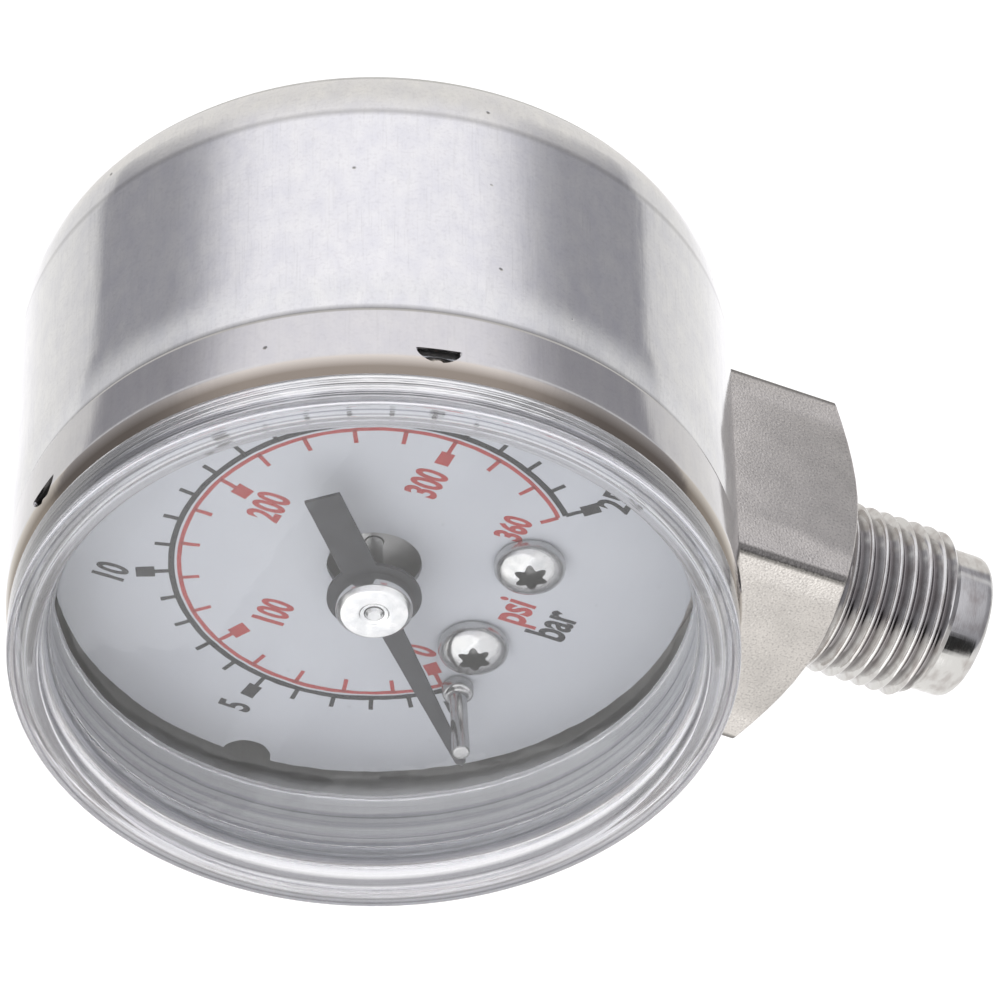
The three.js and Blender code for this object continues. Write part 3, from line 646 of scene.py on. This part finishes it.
def lit_through(finish):
    """Lets lamps reach through the material, so that what is behind it is lit."""
    path = finish.add("ShaderNodeLightPath", {})
    clear = finish.add("ShaderNodeBsdfTransparent", {"Color": (0.93, 0.94, 0.95, 1)})[0]
    shaders = {0: path["Is Shadow Ray"], 1: finish.shader.outputs[0], 2: clear}
    both = finish.add("ShaderNodeMixShader", shaders)
    output = finish.tree.nodes["Material Output"]
    finish.tree.links.new(both[0], output.inputs["Surface"])
    return finish.material


def clear_plastic():
    """Moulded polycarbonate with a faint flow."""
    surface = {
        "Base Color": (0.985, 0.99, 0.995, 1),
        "Transmission Weight": 1,
        "IOR": 1.5,
    }
    finish = Finish("clear_polycarbonate", surface)
    haze = finish.noise(0.5, 3)
    flow = finish.noise(0.35, 2, (1, 2, 1))
    finish.wear("Roughness", finish.span(haze, 0.35, 0.75, 0.01, 0.04))
    finish.bump(flow, 0.01)
    return lit_through(finish)


def hazy_plastic():
    """The window's edge: the same plastic, thick and hazy, with a relief of fine moulded rings, and light and
    dark rings painted in its colour as painted light and shade for the refraction in the edge.
    """
    finish = Finish("hazy_polycarbonate", {"Transmission Weight": 0.8, "IOR": 1.5})
    depth = finish.axes()[1]
    rings = finish.add("ShaderNodeCombineXYZ", {0: finish.radius(), 1: depth, 2: 0.0})[0]
    mould_and_painted_bands = finish.noise_on(rings, 2.6, 4)
    fine = finish.noise_on(rings, 5, 2)
    haze = finish.noise(0.5, 3)
    # painted light and shade: these light bands and fine dark lines stand for the refraction in the edge
    tone = finish.mix(finish.span(mould_and_painted_bands, 0.4, 0.54), (0.74, 0.74, 0.78, 1), (0.985, 0.985, 0.99, 1))
    tone = finish.mix(finish.span(fine, 0.59, 0.63, 0.0, 0.8), tone, (0.18, 0.18, 0.21, 1))
    # painted light and shade: a band of set tone at each listed radius of the edge
    for middle, half, share, painted_band in WINDOW_PAINTED_BANDS:
        ring = finish.span(finish.off(finish.radius(), middle), half, half + 0.06, share, 0.0)
        tone = finish.mix(ring, tone, painted_band)
    finish.wear("Base Color", tone)
    finish.wear("Roughness", finish.span(haze, 0.35, 0.75, 0.02, 0.05))
    finish.bump(mould_and_painted_bands, 0.03)
    finish.bump(fine, 0.008)
    return lit_through(finish)


# ---- Pieces ----

def window_cover(clear, hazy):
    pane, rim, flange, skirt = WINDOW_PANE, WINDOW_RIM, WINDOW_FLANGE, WINDOW_SKIRT
    step = flange["front"] + 0.12
    outline = [
        (0, pane["front"]), (pane["edge"], pane["front"]),
        (rim, flange["front"]), (rim + 0.62, flange["front"]), (rim + 0.68, step),
        (flange["radius"] - 0.15, step), (flange["radius"], flange["front"] + 0.3),
        (flange["radius"], flange["back"]), (skirt["outer"], flange["back"]),
        (skirt["outer"], skirt["back"]), (skirt["inner"], skirt["back"]),
        (skirt["inner"], pane["back"]), (0, pane["back"]),
    ]
    cover = lathe(softened(outline, 0.22, 4), 192)
    for face in cover.faces:
        middle = face.calc_center_median()
        if math.hypot(middle.x, middle.z) > pane["edge"] + 0.1:
            face.material_index = 1
    piece("window_cover", cover, [clear, hazy], replaces=["window"])


def corner_arc(wall):
    """The round back corner of the cup, from the wall in to the flat back."""
    steps = 12
    across, along = CASE_CORNER["across"], CASE_CORNER["along"]
    reach = across - wall - CASE_CREASE["drop"]
    points = []
    for i in range(steps + 1):
        out, back = clock_point(1, 90 * (1 - i / steps))
        points.append((CASE_R - across + reach * out, CASE_BACK - along + (along - wall) * back))
    return points


def cup_outline():
    edge, behind, sink = CASE_GROOVE["edge"], CASE_GROOVE["behind"], CASE_GROOVE["sink"]
    lip = CASE_LIP
    outside = [
        (lip["inner"], lip["front"]), (lip["outer"] - 0.05, lip["front"]),
        (lip["outer"] + 0.01, lip["front"] + 0.08), (CASE_R - 0.03, lip["shoulder"] - 0.12),
        (CASE_R - 0.005, lip["shoulder"] + 0.03), (CASE_R, lip["shoulder"] + 0.2),
        (CASE_R, edge - 0.3), (CASE_R - 0.01, edge - 0.15),
        (CASE_R - sink / 2, edge), (CASE_R - sink, edge + 0.12),
    ]
    for i in range(1, 9):
        share = i / 8
        outside.append((CASE_R - sink * (1 - share) ** 2, edge + 0.12 + (behind - edge) * share))
    outside += [(CASE_R, depth) for depth in (12, 15, 18, 21, CASE_CREASE["depth"])]
    return [
        *outside, *corner_arc(0), (0, CASE_BACK),
        (0, CASE_BACK - CASE_WALL), *reversed(corner_arc(CASE_WALL)),
        (CASE_R - CASE_WALL, lip["shoulder"]), (lip["inner"], lip["front"]),
    ]


def dent_tool(clock):
    """A half disc whose floor slopes in towards its straight rear edge."""
    half = DENT["width"] / 2
    rise = DENT["back"] - DENT["front"]
    mesh = bmesh.new()
    low, high = [], []
    steps = 16
    for i in range(steps + 1):
        angle = math.pi * i / steps
        across = half * math.cos(angle)
        share = math.sin(angle)
        depth = DENT["back"] - rise * share
        floor = CASE_R - 0.05
        if 0 < i < steps:
            floor = CASE_R + 0.02 - DENT["sink"] * (1 - share ** 2) ** 0.5
        low.append(mesh.verts.new((across, depth, floor)))
        high.append(mesh.verts.new((across, depth, CASE_R + 1)))
    deep = [mesh.verts.new((half * 0.5 * side, DENT["back"], CASE_R - DENT["sink"])) for side in (1, -1)]
    for i in range(steps):
        mesh.faces.new((low[i], low[i + 1], high[i + 1], high[i]))
    mesh.faces.new((low[-1], deep[1], deep[0], low[0], high[0], high[-1]))
    mesh.faces.new(high)
    middle = steps // 2
    mesh.faces.new([*low[middle::-1], deep[0]])
    mesh.faces.new([low[middle], deep[0], deep[1]])
    mesh.faces.new([*low[middle:], deep[1]])
    bmesh.ops.triangulate(turned_to(mesh, clock), faces=mesh.faces)
    return mesh


def slit_tool(clock):
    """The shear cut behind a dent, through the wall."""
    half, back = DENT["width"] / 2 * 0.93, DENT["back"]
    return turned_to(box_between((-half, back - 0.3, CASE_R - 1), (half, back + 0.02, CASE_R + 1)), clock)


def countersink(centre, play):
    head, neck = SCREW_HEAD["radius"] + play, SCREW_HEAD["neck"] + play
    seat, outside = CASE_BACK - SCREW_HEAD["depth"], CASE_BACK + 1
    outline = [
        (0, seat - 1), (neck, seat - 1), (neck, seat),
        (head, CASE_BACK - GAP), (head, outside), (0, outside),
    ]
    return lathe(outline, 48, centre)


def dimple(centre):
    front = CASE_BACK - SCREW_HEAD["depth"] - DIMPLE_WALL / 2
    outer = SCREW_HEAD["radius"] + DIMPLE_WALL
    back = CASE_BACK - CASE_WALL / 2
    neck = SCREW_HEAD["neck"] + DIMPLE_WALL
    return lathe([(0, front), (neck, front), (outer, back - 0.3), (outer, back), (0, back)], 48, centre)


def case_cup(polished, dull):
    half = SOCKET_HOLE / 2
    hole = box_between((-half, STEM_DEPTH - half, -CASE_R - 1), (half, STEM_DEPTH + half, -CASE_R / 2))
    screws = [centre_of("case_screw_left"), centre_of("case_screw_right")]
    cup = combined(lathe(cup_outline(), 256), [dimple(centre) for centre in screws], "UNION")
    cup = combined(cup, [hole, *[countersink(centre, 0.08) for centre in screws]])
    clocks = [DENT["first"] + 360 * i / DENT["count"] for i in range(DENT["count"])]
    cup = combined(cup, [dent_tool(clock) for clock in clocks])
    cup = combined(cup, [slit_tool(clock) for clock in clocks])
    for face in cup.faces:
        middle = face.calc_center_median()
        if math.hypot(middle.x, middle.z) < CASE_INSIDE_R and 2 < middle.y < CASE_BACK - CASE_WALL + 0.05:
            face.material_index = 1
    piece("case_cup", cup, [polished, dull], replaces=["case"])


def case_screw(side, material):
    node = f"case_screw_{side}"
    centre = centre_of(node)
    seat = CASE_BACK - SCREW_HEAD["depth"]
    top = CASE_BACK - GAP
    neck, tip = SCREW_HEAD["neck"], SCREW_HEAD["tip"]
    outline = softened([(0, tip), (neck, tip), (neck, seat), (SCREW_HEAD["radius"], top), (0, top)], 0.12)
    x, z = centre
    half = SCREW_SLOT["width"] / 2
    slot = box_between((x - 3, top - SCREW_SLOT["depth"], z - half), (x + 3, CASE_BACK + 2, z + half))
    screw = combined(lathe(outline, 64, centre), [slot])
    piece(f"case_screw_head_{side}", screw, [material], replaces=[node])


def square_outline(flats):
    """A square round the stem's axis with rounded corners, as (x, depth)."""
    steps, side_steps = 5, 10
    radius = BLOCK_EDGE_R
    half = flats / 2 - radius
    points = []
    for quarter in range(4):
        turn = math.radians(90 * quarter)
        corner = [(half + radius * math.cos(a), half + radius * math.sin(a))
                  for a in (math.radians(90 * i / steps) for i in range(steps + 1))]
        side = [(half - 2 * half * i / side_steps, half + radius) for i in range(1, side_steps)]
        for x, y in corner + side:
            points.append((
                x * math.cos(turn) - y * math.sin(turn),
                STEM_DEPTH + x * math.sin(turn) + y * math.cos(turn),
            ))
    return points


def stacked(rings):
    """A closed skin over rings with equal numbers of points, from the first ring to the last."""
    mesh = bmesh.new()
    rows = [[mesh.verts.new(point) for point in ring] for ring in rings]
    for row, after in zip(rows, rows[1:]):
        joined(mesh, row, after)
    mesh.faces.new(rows[0])
    mesh.faces.new(rows[-1])
    return mesh


def socket_block():
    """The square block: a turned shoulder below, a saddle under the case and a neck through it."""
    edge = 0.07
    outer = square_outline(BLOCK_FLATS)
    inner = square_outline(BLOCK_FLATS - 2 * edge)
    neck = square_outline(NECK_FLATS)

    def level(outline, height):
        return [(x, depth, height(x, depth)) for x, depth in outline]

    def cone(x, depth):
        return SHOULDER_Z + (math.hypot(x, depth - STEM_DEPTH) - SHOULDER_R) * CORNER_SLOPE

    def saddle(x, depth):
        return -math.sqrt(SADDLE_R ** 2 - x ** 2)

    shoulder = [
        (SHOULDER_R * x / size, STEM_DEPTH + SHOULDER_R * y / size, SHOULDER_Z)
        for x, y, size in ((x, d - STEM_DEPTH, math.hypot(x, d - STEM_DEPTH)) for x, d in outer)
    ]
    return stacked([
        [(x / 2, (d + STEM_DEPTH) / 2, z) for x, d, z in shoulder],
        shoulder,
        level(inner, cone),
        level(outer, lambda x, d: cone(x, d) + edge),
        level(outer, lambda x, d: saddle(x, d) - edge),
        level(inner, saddle),
        level(neck, saddle),
        level(neck, lambda x, d: BLOCK_TOP),
    ])


def thread_radius(turn):
    """The radius at a share of one pitch: flanks at 55 degrees with a round crest and root."""
    ramp = abs(2 * (turn % 1) - 1)
    ramp = min(1, max(0, (ramp - 0.1) / 0.8))
    soft = ramp * ramp * (3 - 2 * ramp)
    return THREAD["minor"] + (THREAD["major"] - THREAD["minor"]) * (0.25 * soft + 0.75 * ramp)


def stem_skin():
    """The threaded stem. Its rows of points follow the helix, so that the crests stay clean."""
    columns, rows_per_turn = 96, 14
    top, end = THREAD["top"], THREAD["end"]
    step = THREAD["pitch"] / rows_per_turn
    rows = int((top - end) / step) + 3 * rows_per_turn
    mesh = bmesh.new()

    def vertex(column, row):
        z = end - THREAD["pitch"] * 1.5 + (row + column / columns * rows_per_turn) * step
        height = min(top, max(end, z))
        start = PILOT["radius"] + (height - end) * 1.1
        runout = THREAD["minor"] + (top - height) * 2
        radius = min(thread_radius(row / rows_per_turn), start, runout)
        angle = 2 * math.pi * column / columns
        return mesh.verts.new((radius * math.cos(angle), STEM_DEPTH + radius * math.sin(angle), height))

    grid = [[vertex(column, row) for row in range(rows + rows_per_turn)] for column in range(columns)]
    grid.append([grid[0][row + rows_per_turn] for row in range(rows)])
    for column, after in zip(grid, grid[1:]):
        for row in range(rows - 1):
            mesh.faces.new((column[row], after[row], after[row + 1], column[row + 1]))
    bmesh.ops.remove_doubles(mesh, verts=mesh.verts, dist=1e-4)
    bmesh.ops.dissolve_degenerate(mesh, dist=1e-4, edges=mesh.edges)
    bmesh.ops.delete(mesh, geom=[v for v in mesh.verts if not v.link_faces], context="VERTS")
    bmesh.ops.holes_fill(mesh, edges=mesh.edges, sides=0)
    return mesh


def upright_lathe(outline, segments=96):
    """A (radius, height) outline turned round the stem's axis."""
    mesh = lathe(outline, segments)
    place = Matrix.Translation((0, STEM_DEPTH, 0)) @ Matrix.Rotation(math.pi / 2, 4, "X")
    bmesh.ops.transform(mesh, matrix=place, verts=mesh.verts)
    return mesh


def bevelled_box(low, high, width):
    mesh = box_between(low, high)
    bmesh.ops.bevel(mesh, geom=mesh.edges, offset=width, segments=2, affect="EDGES")
    return mesh


def socket_body(blasted, bright, turned):
    """Block, thread and tube carrier in one piece, with the pressure bore and the tube's pocket."""
    end, round_off = PILOT["end"], PILOT["round"]
    core_r = THREAD["minor"] - 0.08
    core = softened([
        (0, end), (PILOT["radius"], end), (PILOT["radius"], THREAD["end"] + 0.15),
        (core_r, THREAD["end"] + 0.15), (core_r, SHOULDER_Z + 1), (0, SHOULDER_Z + 1),
    ], round_off, 5)
    half, foot, top = CARRIER["half"], BLOCK_TOP - 1, CARRIER["top"]
    body = bevelled_box((-half, CARRIER["front"], foot), (half, CARRIER["back"], top), 0.15)
    boss_foot = (-half, CARRIER["back"] - 1, CARRIER["boss_foot"])
    boss = bevelled_box(boss_foot, (half, CARRIER["boss_back"], top), 0.15)
    solid = combined(socket_block(), [upright_lathe(core), stem_skin(), body, boss], "UNION")
    wide, mouth, narrow = BORE["radius"], BORE["mouth"], BORE["narrow"]
    bore = upright_lathe([
        (0, end - 1), (wide + mouth + 1, end - 1), (wide, end + mouth), (wide, BORE["top"]),
        (narrow, BORE["top"] + 0.6), (narrow, BORE["narrow_top"]), (0, BORE["narrow_top"]),
    ], 64)
    pocket = box_between(
        (-half - 1, TUBE_POCKET["front"], TUBE_POCKET["foot"]),
        (TUBE_POCKET["right"], TUBE_POCKET["back"], TUBE_POCKET["top"]),
    )
    tools = [bore, pocket]
    for side in ("left", "right"):
        tools.append(drill(*MOVEMENT_HOLE, centre_of(f"movement_screw_{side}")))
        tools.append(drill(*CASE_SCREW_HOLE, centre_of(f"case_screw_{side}")))
    solid = combined(solid, tools)
    for face in solid.faces:
        middle = face.calc_center_median()
        if middle.z < SHOULDER_Z - 0.05:
            face.material_index = 1
        elif middle.z > TURNED_ABOVE:
            face.material_index = 2
    piece("socket_body", solid, [blasted, bright, turned], replaces=["socket"], sharp=38)


def bourdon_tube(material):
    """The flat tube's outer and inner skins, swept round the arc and shut at both ends."""
    rows = 160
    rounding = 8

    def section(thick, wide):
        half, radius = (wide - thick) / 2, thick / 2
        points = []
        for end in (1, -1):
            for i in range(rounding + 1):
                angle = math.pi * i / rounding
                points.append((end * radius * math.cos(angle), end * (half + radius * math.sin(angle))))
        return points

    mesh = bmesh.new()
    skins = []
    for shrink in (0, 2 * TUBE["wall"]):
        outline = section(TUBE["thick"] - shrink, TUBE["wide"] - shrink)
        skin = []
        for i in range(rows + 1):
            clock = TUBE["start"] + TUBE["sweep"] * i / rows
            places = [(TUBE["radius"] + out, TUBE["depth"] + along) for out, along in outline]
            skin.append([mesh.verts.new(clock_place(*place, clock)) for place in places])
        skins.append(skin)
        for ring, after in zip(skin, skin[1:]):
            joined(mesh, ring, after)
    outer, inner = skins
    for end in (0, -1):
        joined(mesh, outer[end], inner[end])
    tube = piece("tube_spring", mesh, [material], body=None, replaces=["bourdon_tube"])
    tip_low, tip_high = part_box("tube_tip")
    start = Vector((AXIS.x, AXIS.y + TUBE["depth"] * MM, AXIS.z - TUBE["radius"] * MM))
    end = Vector((tip_low.x + MM, start.y, tip_high.z))
    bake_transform(tube)


def dial_plate(material):
    notch_x = DIAL["radius"] - DIAL_NOTCH["depth"] + DIAL_NOTCH["radius"]
    edge = flat_piece([circle(DIAL["radius"], segments=256)], DIAL["front"], DIAL["back"], 0.04)
    holes = [
        (DIAL["hole"], (0, 0)),
        (DIAL_NOTCH["radius"], (notch_x, 0)),
        (DIAL_NOTCH["radius"], (-notch_x, 0)),
        (STOP_PIN["radius"] + GAP, centre_of("stop_pin")),
    ]
    holes += [(DIAL_SCREW["shank"] + 0.15, centre_of(f"dial_screw_{side}")) for side in ("left", "right")]
    drills = [drill(radius, DIAL["front"] - 1, DIAL["front"] + 1, centre, 64) for radius, centre in holes]
    piece("dial_plate", combined(edge, drills), [material], replaces=["dial"])


def scale_clock(value, scale):
    return SCALE_START + SCALE_SWEEP * value / scale["full"]


class Print:
    """Thin raised ink on the dial, gathered into one piece."""

    def __init__(self):
        self.parts = []
        self.front = DIAL["front"] - PRINT_THICKNESS
        self.back = DIAL["front"] + PRINT_THICKNESS / 2

    def arc(self, radius, width, start, end):
        steps = int(abs(end - start))
        clocks = [start + (end - start) * i / steps for i in range(steps + 1)]
        outer, inner = radius + width / 2, radius - width / 2
        corners = [(outer, self.front), (inner, self.front), (inner, self.back), (outer, self.back)]
        rings = [[clock_place(side, depth, clock) for side, depth in corners] for clock in clocks]
        self.parts.append(stacked(rings))

    def bar(self, clock, inner, outer, width):
        mesh = box_between((-width / 2, self.front, inner), (width / 2, self.back, outer))
        self.parts.append(turned_to(mesh, clock))

    def letters(self, text, centre, height):
        curve = bpy.data.curves.new("letters", "FONT")
        curve.body = text
        curve.size = LETTERS["size"] * height
        curve.align_x = "CENTER"
        curve.align_y = "CENTER"
        curve.offset = LETTERS["bold"]
        curve.resolution_u = 6
        mesh = from_curve(curve, self.front, self.back)
        place = Matrix.Translation((centre[0], 0, centre[1])) @ Matrix.Diagonal((LETTERS["narrow"], 1, 1, 1))
        bmesh.ops.transform(mesh, matrix=place, verts=mesh.verts)
        self.parts.append(mesh)


def dial_scale(name, scale, material):
    """One printed scale: its arc, its marks, its numbers and the generic unit."""
    printed = Print()
    radius = scale["radius"]
    printed.arc(radius, scale["width"], SCALE_START, SCALE_START + SCALE_SWEEP)
    for value in range(0, scale["full"] + 1, scale["step"]):
        marks = [scale["mark"], scale["block"]] if value % scale["numbered"] == 0 else [scale["mark"]]
        for inner, outer, width in marks:
            printed.bar(scale_clock(value, scale), radius + inner, radius + outer, width)
    for value, number_radius in scale["numbers"].items():
        height = LAST_NUMBER_HEIGHT if value == PSI_SCALE["full"] else NUMBER_HEIGHT
        printed.letters(str(value), clock_point(number_radius, scale_clock(value, scale)), height)
    printed.letters(*scale["unit"])
    piece(name, merged(printed.parts), [material])


def pointer_blade(material):
    """Needle, disc and square-ended tail, stamped from one sheet."""
    disc, tail, tail_end = POINTER["disc"], POINTER["tail_half"], POINTER["tail_end"]
    half, tip_half, tip = NEEDLE["half"], NEEDLE["tip_half"], NEEDLE["tip"]
    neck = math.degrees(math.asin(half / disc))
    shoulder = math.degrees(math.asin(tail / disc))
    right = [clock_point(disc, neck + (180 - shoulder - neck) * i / 24) for i in range(25)]
    left = [(-x, z) for x, z in reversed(right)]
    outline = [(0, tip), (tip_half, tip - tip_half), *right, (tail, -tail_end), (-tail, -tail_end),
               *left, (-tip_half, tip - tip_half)]
    blade = flat_piece([outline[::-1], circle(SHAFT_HOLE_R)], POINTER["front"], POINTER["back"], 0.03)
    turned_to(blade, POINTER_REST)
    piece("pointer_blade", blade, [material], body="pointer_shaft", replaces=["pointer"])


def pointer_boss(material):
    """The hub, with a turned chamfer and a shallow ring round the shaft's end."""
    radius, front, chamfer = HUB["radius"], HUB["front"], HUB["chamfer"]
    back = POINTER["front"] - GAP
    outline = softened([
        (SHAFT_HOLE_R, back), (SHAFT_HOLE_R, front + 0.08), (SHAFT_HOLE_R + 0.2, front + 0.08),
        (SHAFT_HOLE_R + 0.28, front), (radius - chamfer, front), (radius, front + chamfer), (radius, back),
        (SHAFT_HOLE_R, back),
    ], 0.04, 2)
    hub = lathe(outline, 128)
    piece("pointer_boss", hub, [material], body="pointer_shaft", replaces=["pointer_hub"])


def dial_screw(side, material):
    """A pan-head screw with a six-lobed recess."""
    node = f"dial_screw_{side}"
    centre = centre_of(node)
    radius, front, shank = DIAL_SCREW["radius"], DIAL_SCREW["front"], DIAL_SCREW["shank"]
    seat = DIAL["front"] - GAP
    rim = seat - 0.28
    dome = [(radius * math.sin(a), rim - (rim - front) * math.cos(a) ** 0.8)
            for a in (math.radians(7.5 * i) for i in range(12))]
    outline = [(0, front), *dome[1:], (radius, rim), (radius, seat - 0.08), (radius - 0.08, seat),
               (shank, seat), (shank, DIAL_SCREW["back"]), (0, DIAL_SCREW["back"])]
    lobes = []
    for i in range(72):
        x, z = clock_point(RECESS["radius"] + RECESS["lobe"] * math.cos(math.radians(30 * i)), -5 * i)
        lobes.append((centre[0] + x, centre[1] + z))
    recess = flat_piece([lobes], front - 1, front + RECESS["depth"], 0)
    screw = combined(lathe(outline, 96, centre), [recess])
    piece(f"dial_screw_head_{side}", screw, [material], replaces=[node])


def stop_pin(material):
    front, radius = STOP_PIN["front"], STOP_PIN["radius"]
    collar, collar_front = STOP_PIN["collar"], STOP_PIN["collar_front"]
    seat = DIAL["front"] - GAP
    outline = softened([
        (0, front), (radius, front), (radius, collar_front), (collar, collar_front), (collar, seat),
        (radius, seat), (radius, DIAL["back"] + 0.3), (0, DIAL["back"] + 0.3),
    ], 0.16, 4)
    pin = lathe(outline, 64, centre_of("stop_pin"))
    piece("stop_pin_turned", pin, [material], replaces=["stop_pin"])


def carried_over(materials):
    """Gives every CAD node that still shows the material of its finish."""
    for node, material in materials.items():
        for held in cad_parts[node].material_slots:
            held.material = material


# ---- Studio ----

def studio_world():
    """A white room with two tall dark flags that the steel mirrors, given by direction."""
    world = bpy.data.worlds.new("studio")
    world.use_nodes = True
    world.node_tree.nodes.clear()
    nodes = Nodes(world.node_tree)
    direction = nodes.add("ShaderNodeTexCoord", {})["Generated"]
    axes = nodes.add("ShaderNodeSeparateXYZ", {0: direction})
    bearing = nodes.number("ARCTAN2", axes[2], axes[0])
    turned = nodes.number("COSINE", nodes.number("SUBTRACT", bearing, math.radians(ROOM_MIDDLE)))
    away = nodes.number("DIVIDE", nodes.number("ARCCOSINE", turned), math.pi)
    ramp = nodes.tree.nodes.new("ShaderNodeValToRGB")
    nodes.tree.links.new(away, ramp.inputs[0])
    stops = ramp.color_ramp.elements
    for i, (degrees, level, blue) in enumerate(ROOM_LEVELS):
        stop = stops[i] if i < len(stops) else stops.new(degrees / 180)
        stop.position = degrees / 180
        stop.color = (level, level * 0.99, level * blue, 1)
    beside = nodes.off(axes[1], ROOM_STRIP["middle"])
    strip = nodes.span(beside, ROOM_STRIP["half"], 0.0, 0.0, ROOM_STRIP["share"])
    room = nodes.mix(strip, ramp.outputs[0], (1.0, 1.0, 1.0, 1))
    for zone in (ROOM_FRONT, ROOM_BACK, ROOM_DARK):
        both = {0: direction, 1: Vector(zone["towards"]).normalized()}
        facing = nodes.add("ShaderNodeVectorMath", both, operation="DOT_PRODUCT")["Value"]
        room = nodes.mix(nodes.span(facing, zone["start"], zone["full"]), room, zone["colour"])
    background = nodes.add("ShaderNodeBackground", {"Color": room, "Strength": 1.0})
    nodes.add("ShaderNodeOutputWorld", {"Surface": background[0]})
    bpy.context.scene.world = world


def studio_floor():
    mesh = bmesh.new()
    bmesh.ops.create_grid(mesh, x_segments=8, y_segments=8, size=FLOOR["half"])
    floor = linked("floor", mesh_data("floor", mesh))
    floor.location = (0, 0, cad_box[0][2] - FLOOR["drop"])
    surface = {
        "Base Color": grey(FLOOR["tone"]),
        "Roughness": FLOOR["rough"],
        "Emission Color": grey(1),
        "Emission Strength": FLOOR["glow"],
    }
    floor.data.materials.append(Finish("floor", surface).material)
    floor.visible_glossy = False


def key_light():
    light = bpy.data.lights.new("key", "AREA")
    light.shape = "DISK"
    light.size = KEY_LIGHT["size"]
    light.energy = KEY_LIGHT["power"]
    holder = linked("key", light)
    holder.location = KEY_LIGHT["place"]
    holder.rotation_euler = (AXIS - holder.location).to_track_quat("-Z", "Y").to_euler()


def camera():
    azimuth, elevation = math.radians(VIEW["azimuth"]), math.radians(VIEW["elevation"])
    forward = Vector((
        -math.sin(azimuth) * math.cos(elevation),
        math.cos(azimuth) * math.cos(elevation),
        -math.sin(elevation),
    ))
    level = forward.to_track_quat("-Z", "Y").to_matrix()
    turn = Matrix.Rotation(math.radians(-VIEW["roll"]), 3, "Z")
    target = AXIS + Vector(TARGET) * MM
    lens = bpy.data.cameras.new("camera")
    lens.lens = VIEW["lens"]
    lens.sensor_width = 36
    holder = linked("camera", lens)
    place = Matrix.Translation(target - forward * VIEW["distance"])
    holder.matrix_world = place @ (level @ turn).to_4x4()
    bpy.context.scene.camera = holder


def build():
    turned = turned_steel()
    stamped = stamped_steel()
    tube = tube_alloy()
    window_cover(clear_plastic(), hazy_plastic())
    case_cup(case_steel(), dull_steel())
    socket_body(blasted_steel(), thread_steel(), turned)
    bourdon_tube(tube)
    dial_plate(dial_paint())
    black = ink("black_ink", (0.008, 0.008, 0.01, 1), (0.025, 0.025, 0.028, 1))
    dial_scale("dial_scale_black", BAR_SCALE, black)
    red = ink("red_ink", (0.36, 0.035, 0.035, 1), (0.44, 0.07, 0.065, 1))
    dial_scale("dial_scale_red", PSI_SCALE, red)
    pointer_blade(pointer_coat())
    pointer_boss(turned_steel("hub_steel", tone=0.8))
    stop_pin(turned_steel("pin_steel", centre_of("stop_pin"), 0.46))
    for side in ("left", "right"):
        centre = centre_of(f"dial_screw_{side}")
        dial_screw(side, turned_steel(f"dial_screw_steel_{side}", centre, 0.6, DIAL_SCREW["front"] + 0.12))
        case_screw(side, turned_steel(f"case_screw_steel_{side}", centre_of(f"case_screw_{side}"), 0.66))
    plates = ("front_plate", "rear_plate", "sector_gear", "link")
    small = ["pointer_arbor", "hairspring_collet", "hairspring_stud"]
    small += ["sector_arbor", "sector_tail_pin", "link_pin"]
    small += [f"{kind}_{side}" for kind in ("movement_screw", "dial_standoff") for side in ("left", "right")]
    small += [f"{kind}_{side}" for kind in ("pillar", "plate_screw") for side in ("left", "right", "lower")]
    carried_over({
        **dict.fromkeys(plates, stamped),
        **dict.fromkeys(small, turned),
        "tube_tip": tube,
        "hairspring": spring_alloy(),
    })


build()
studio_world()
studio_floor()
key_light()
camera()
bpy.context.scene.view_settings.view_transform = "Standard"
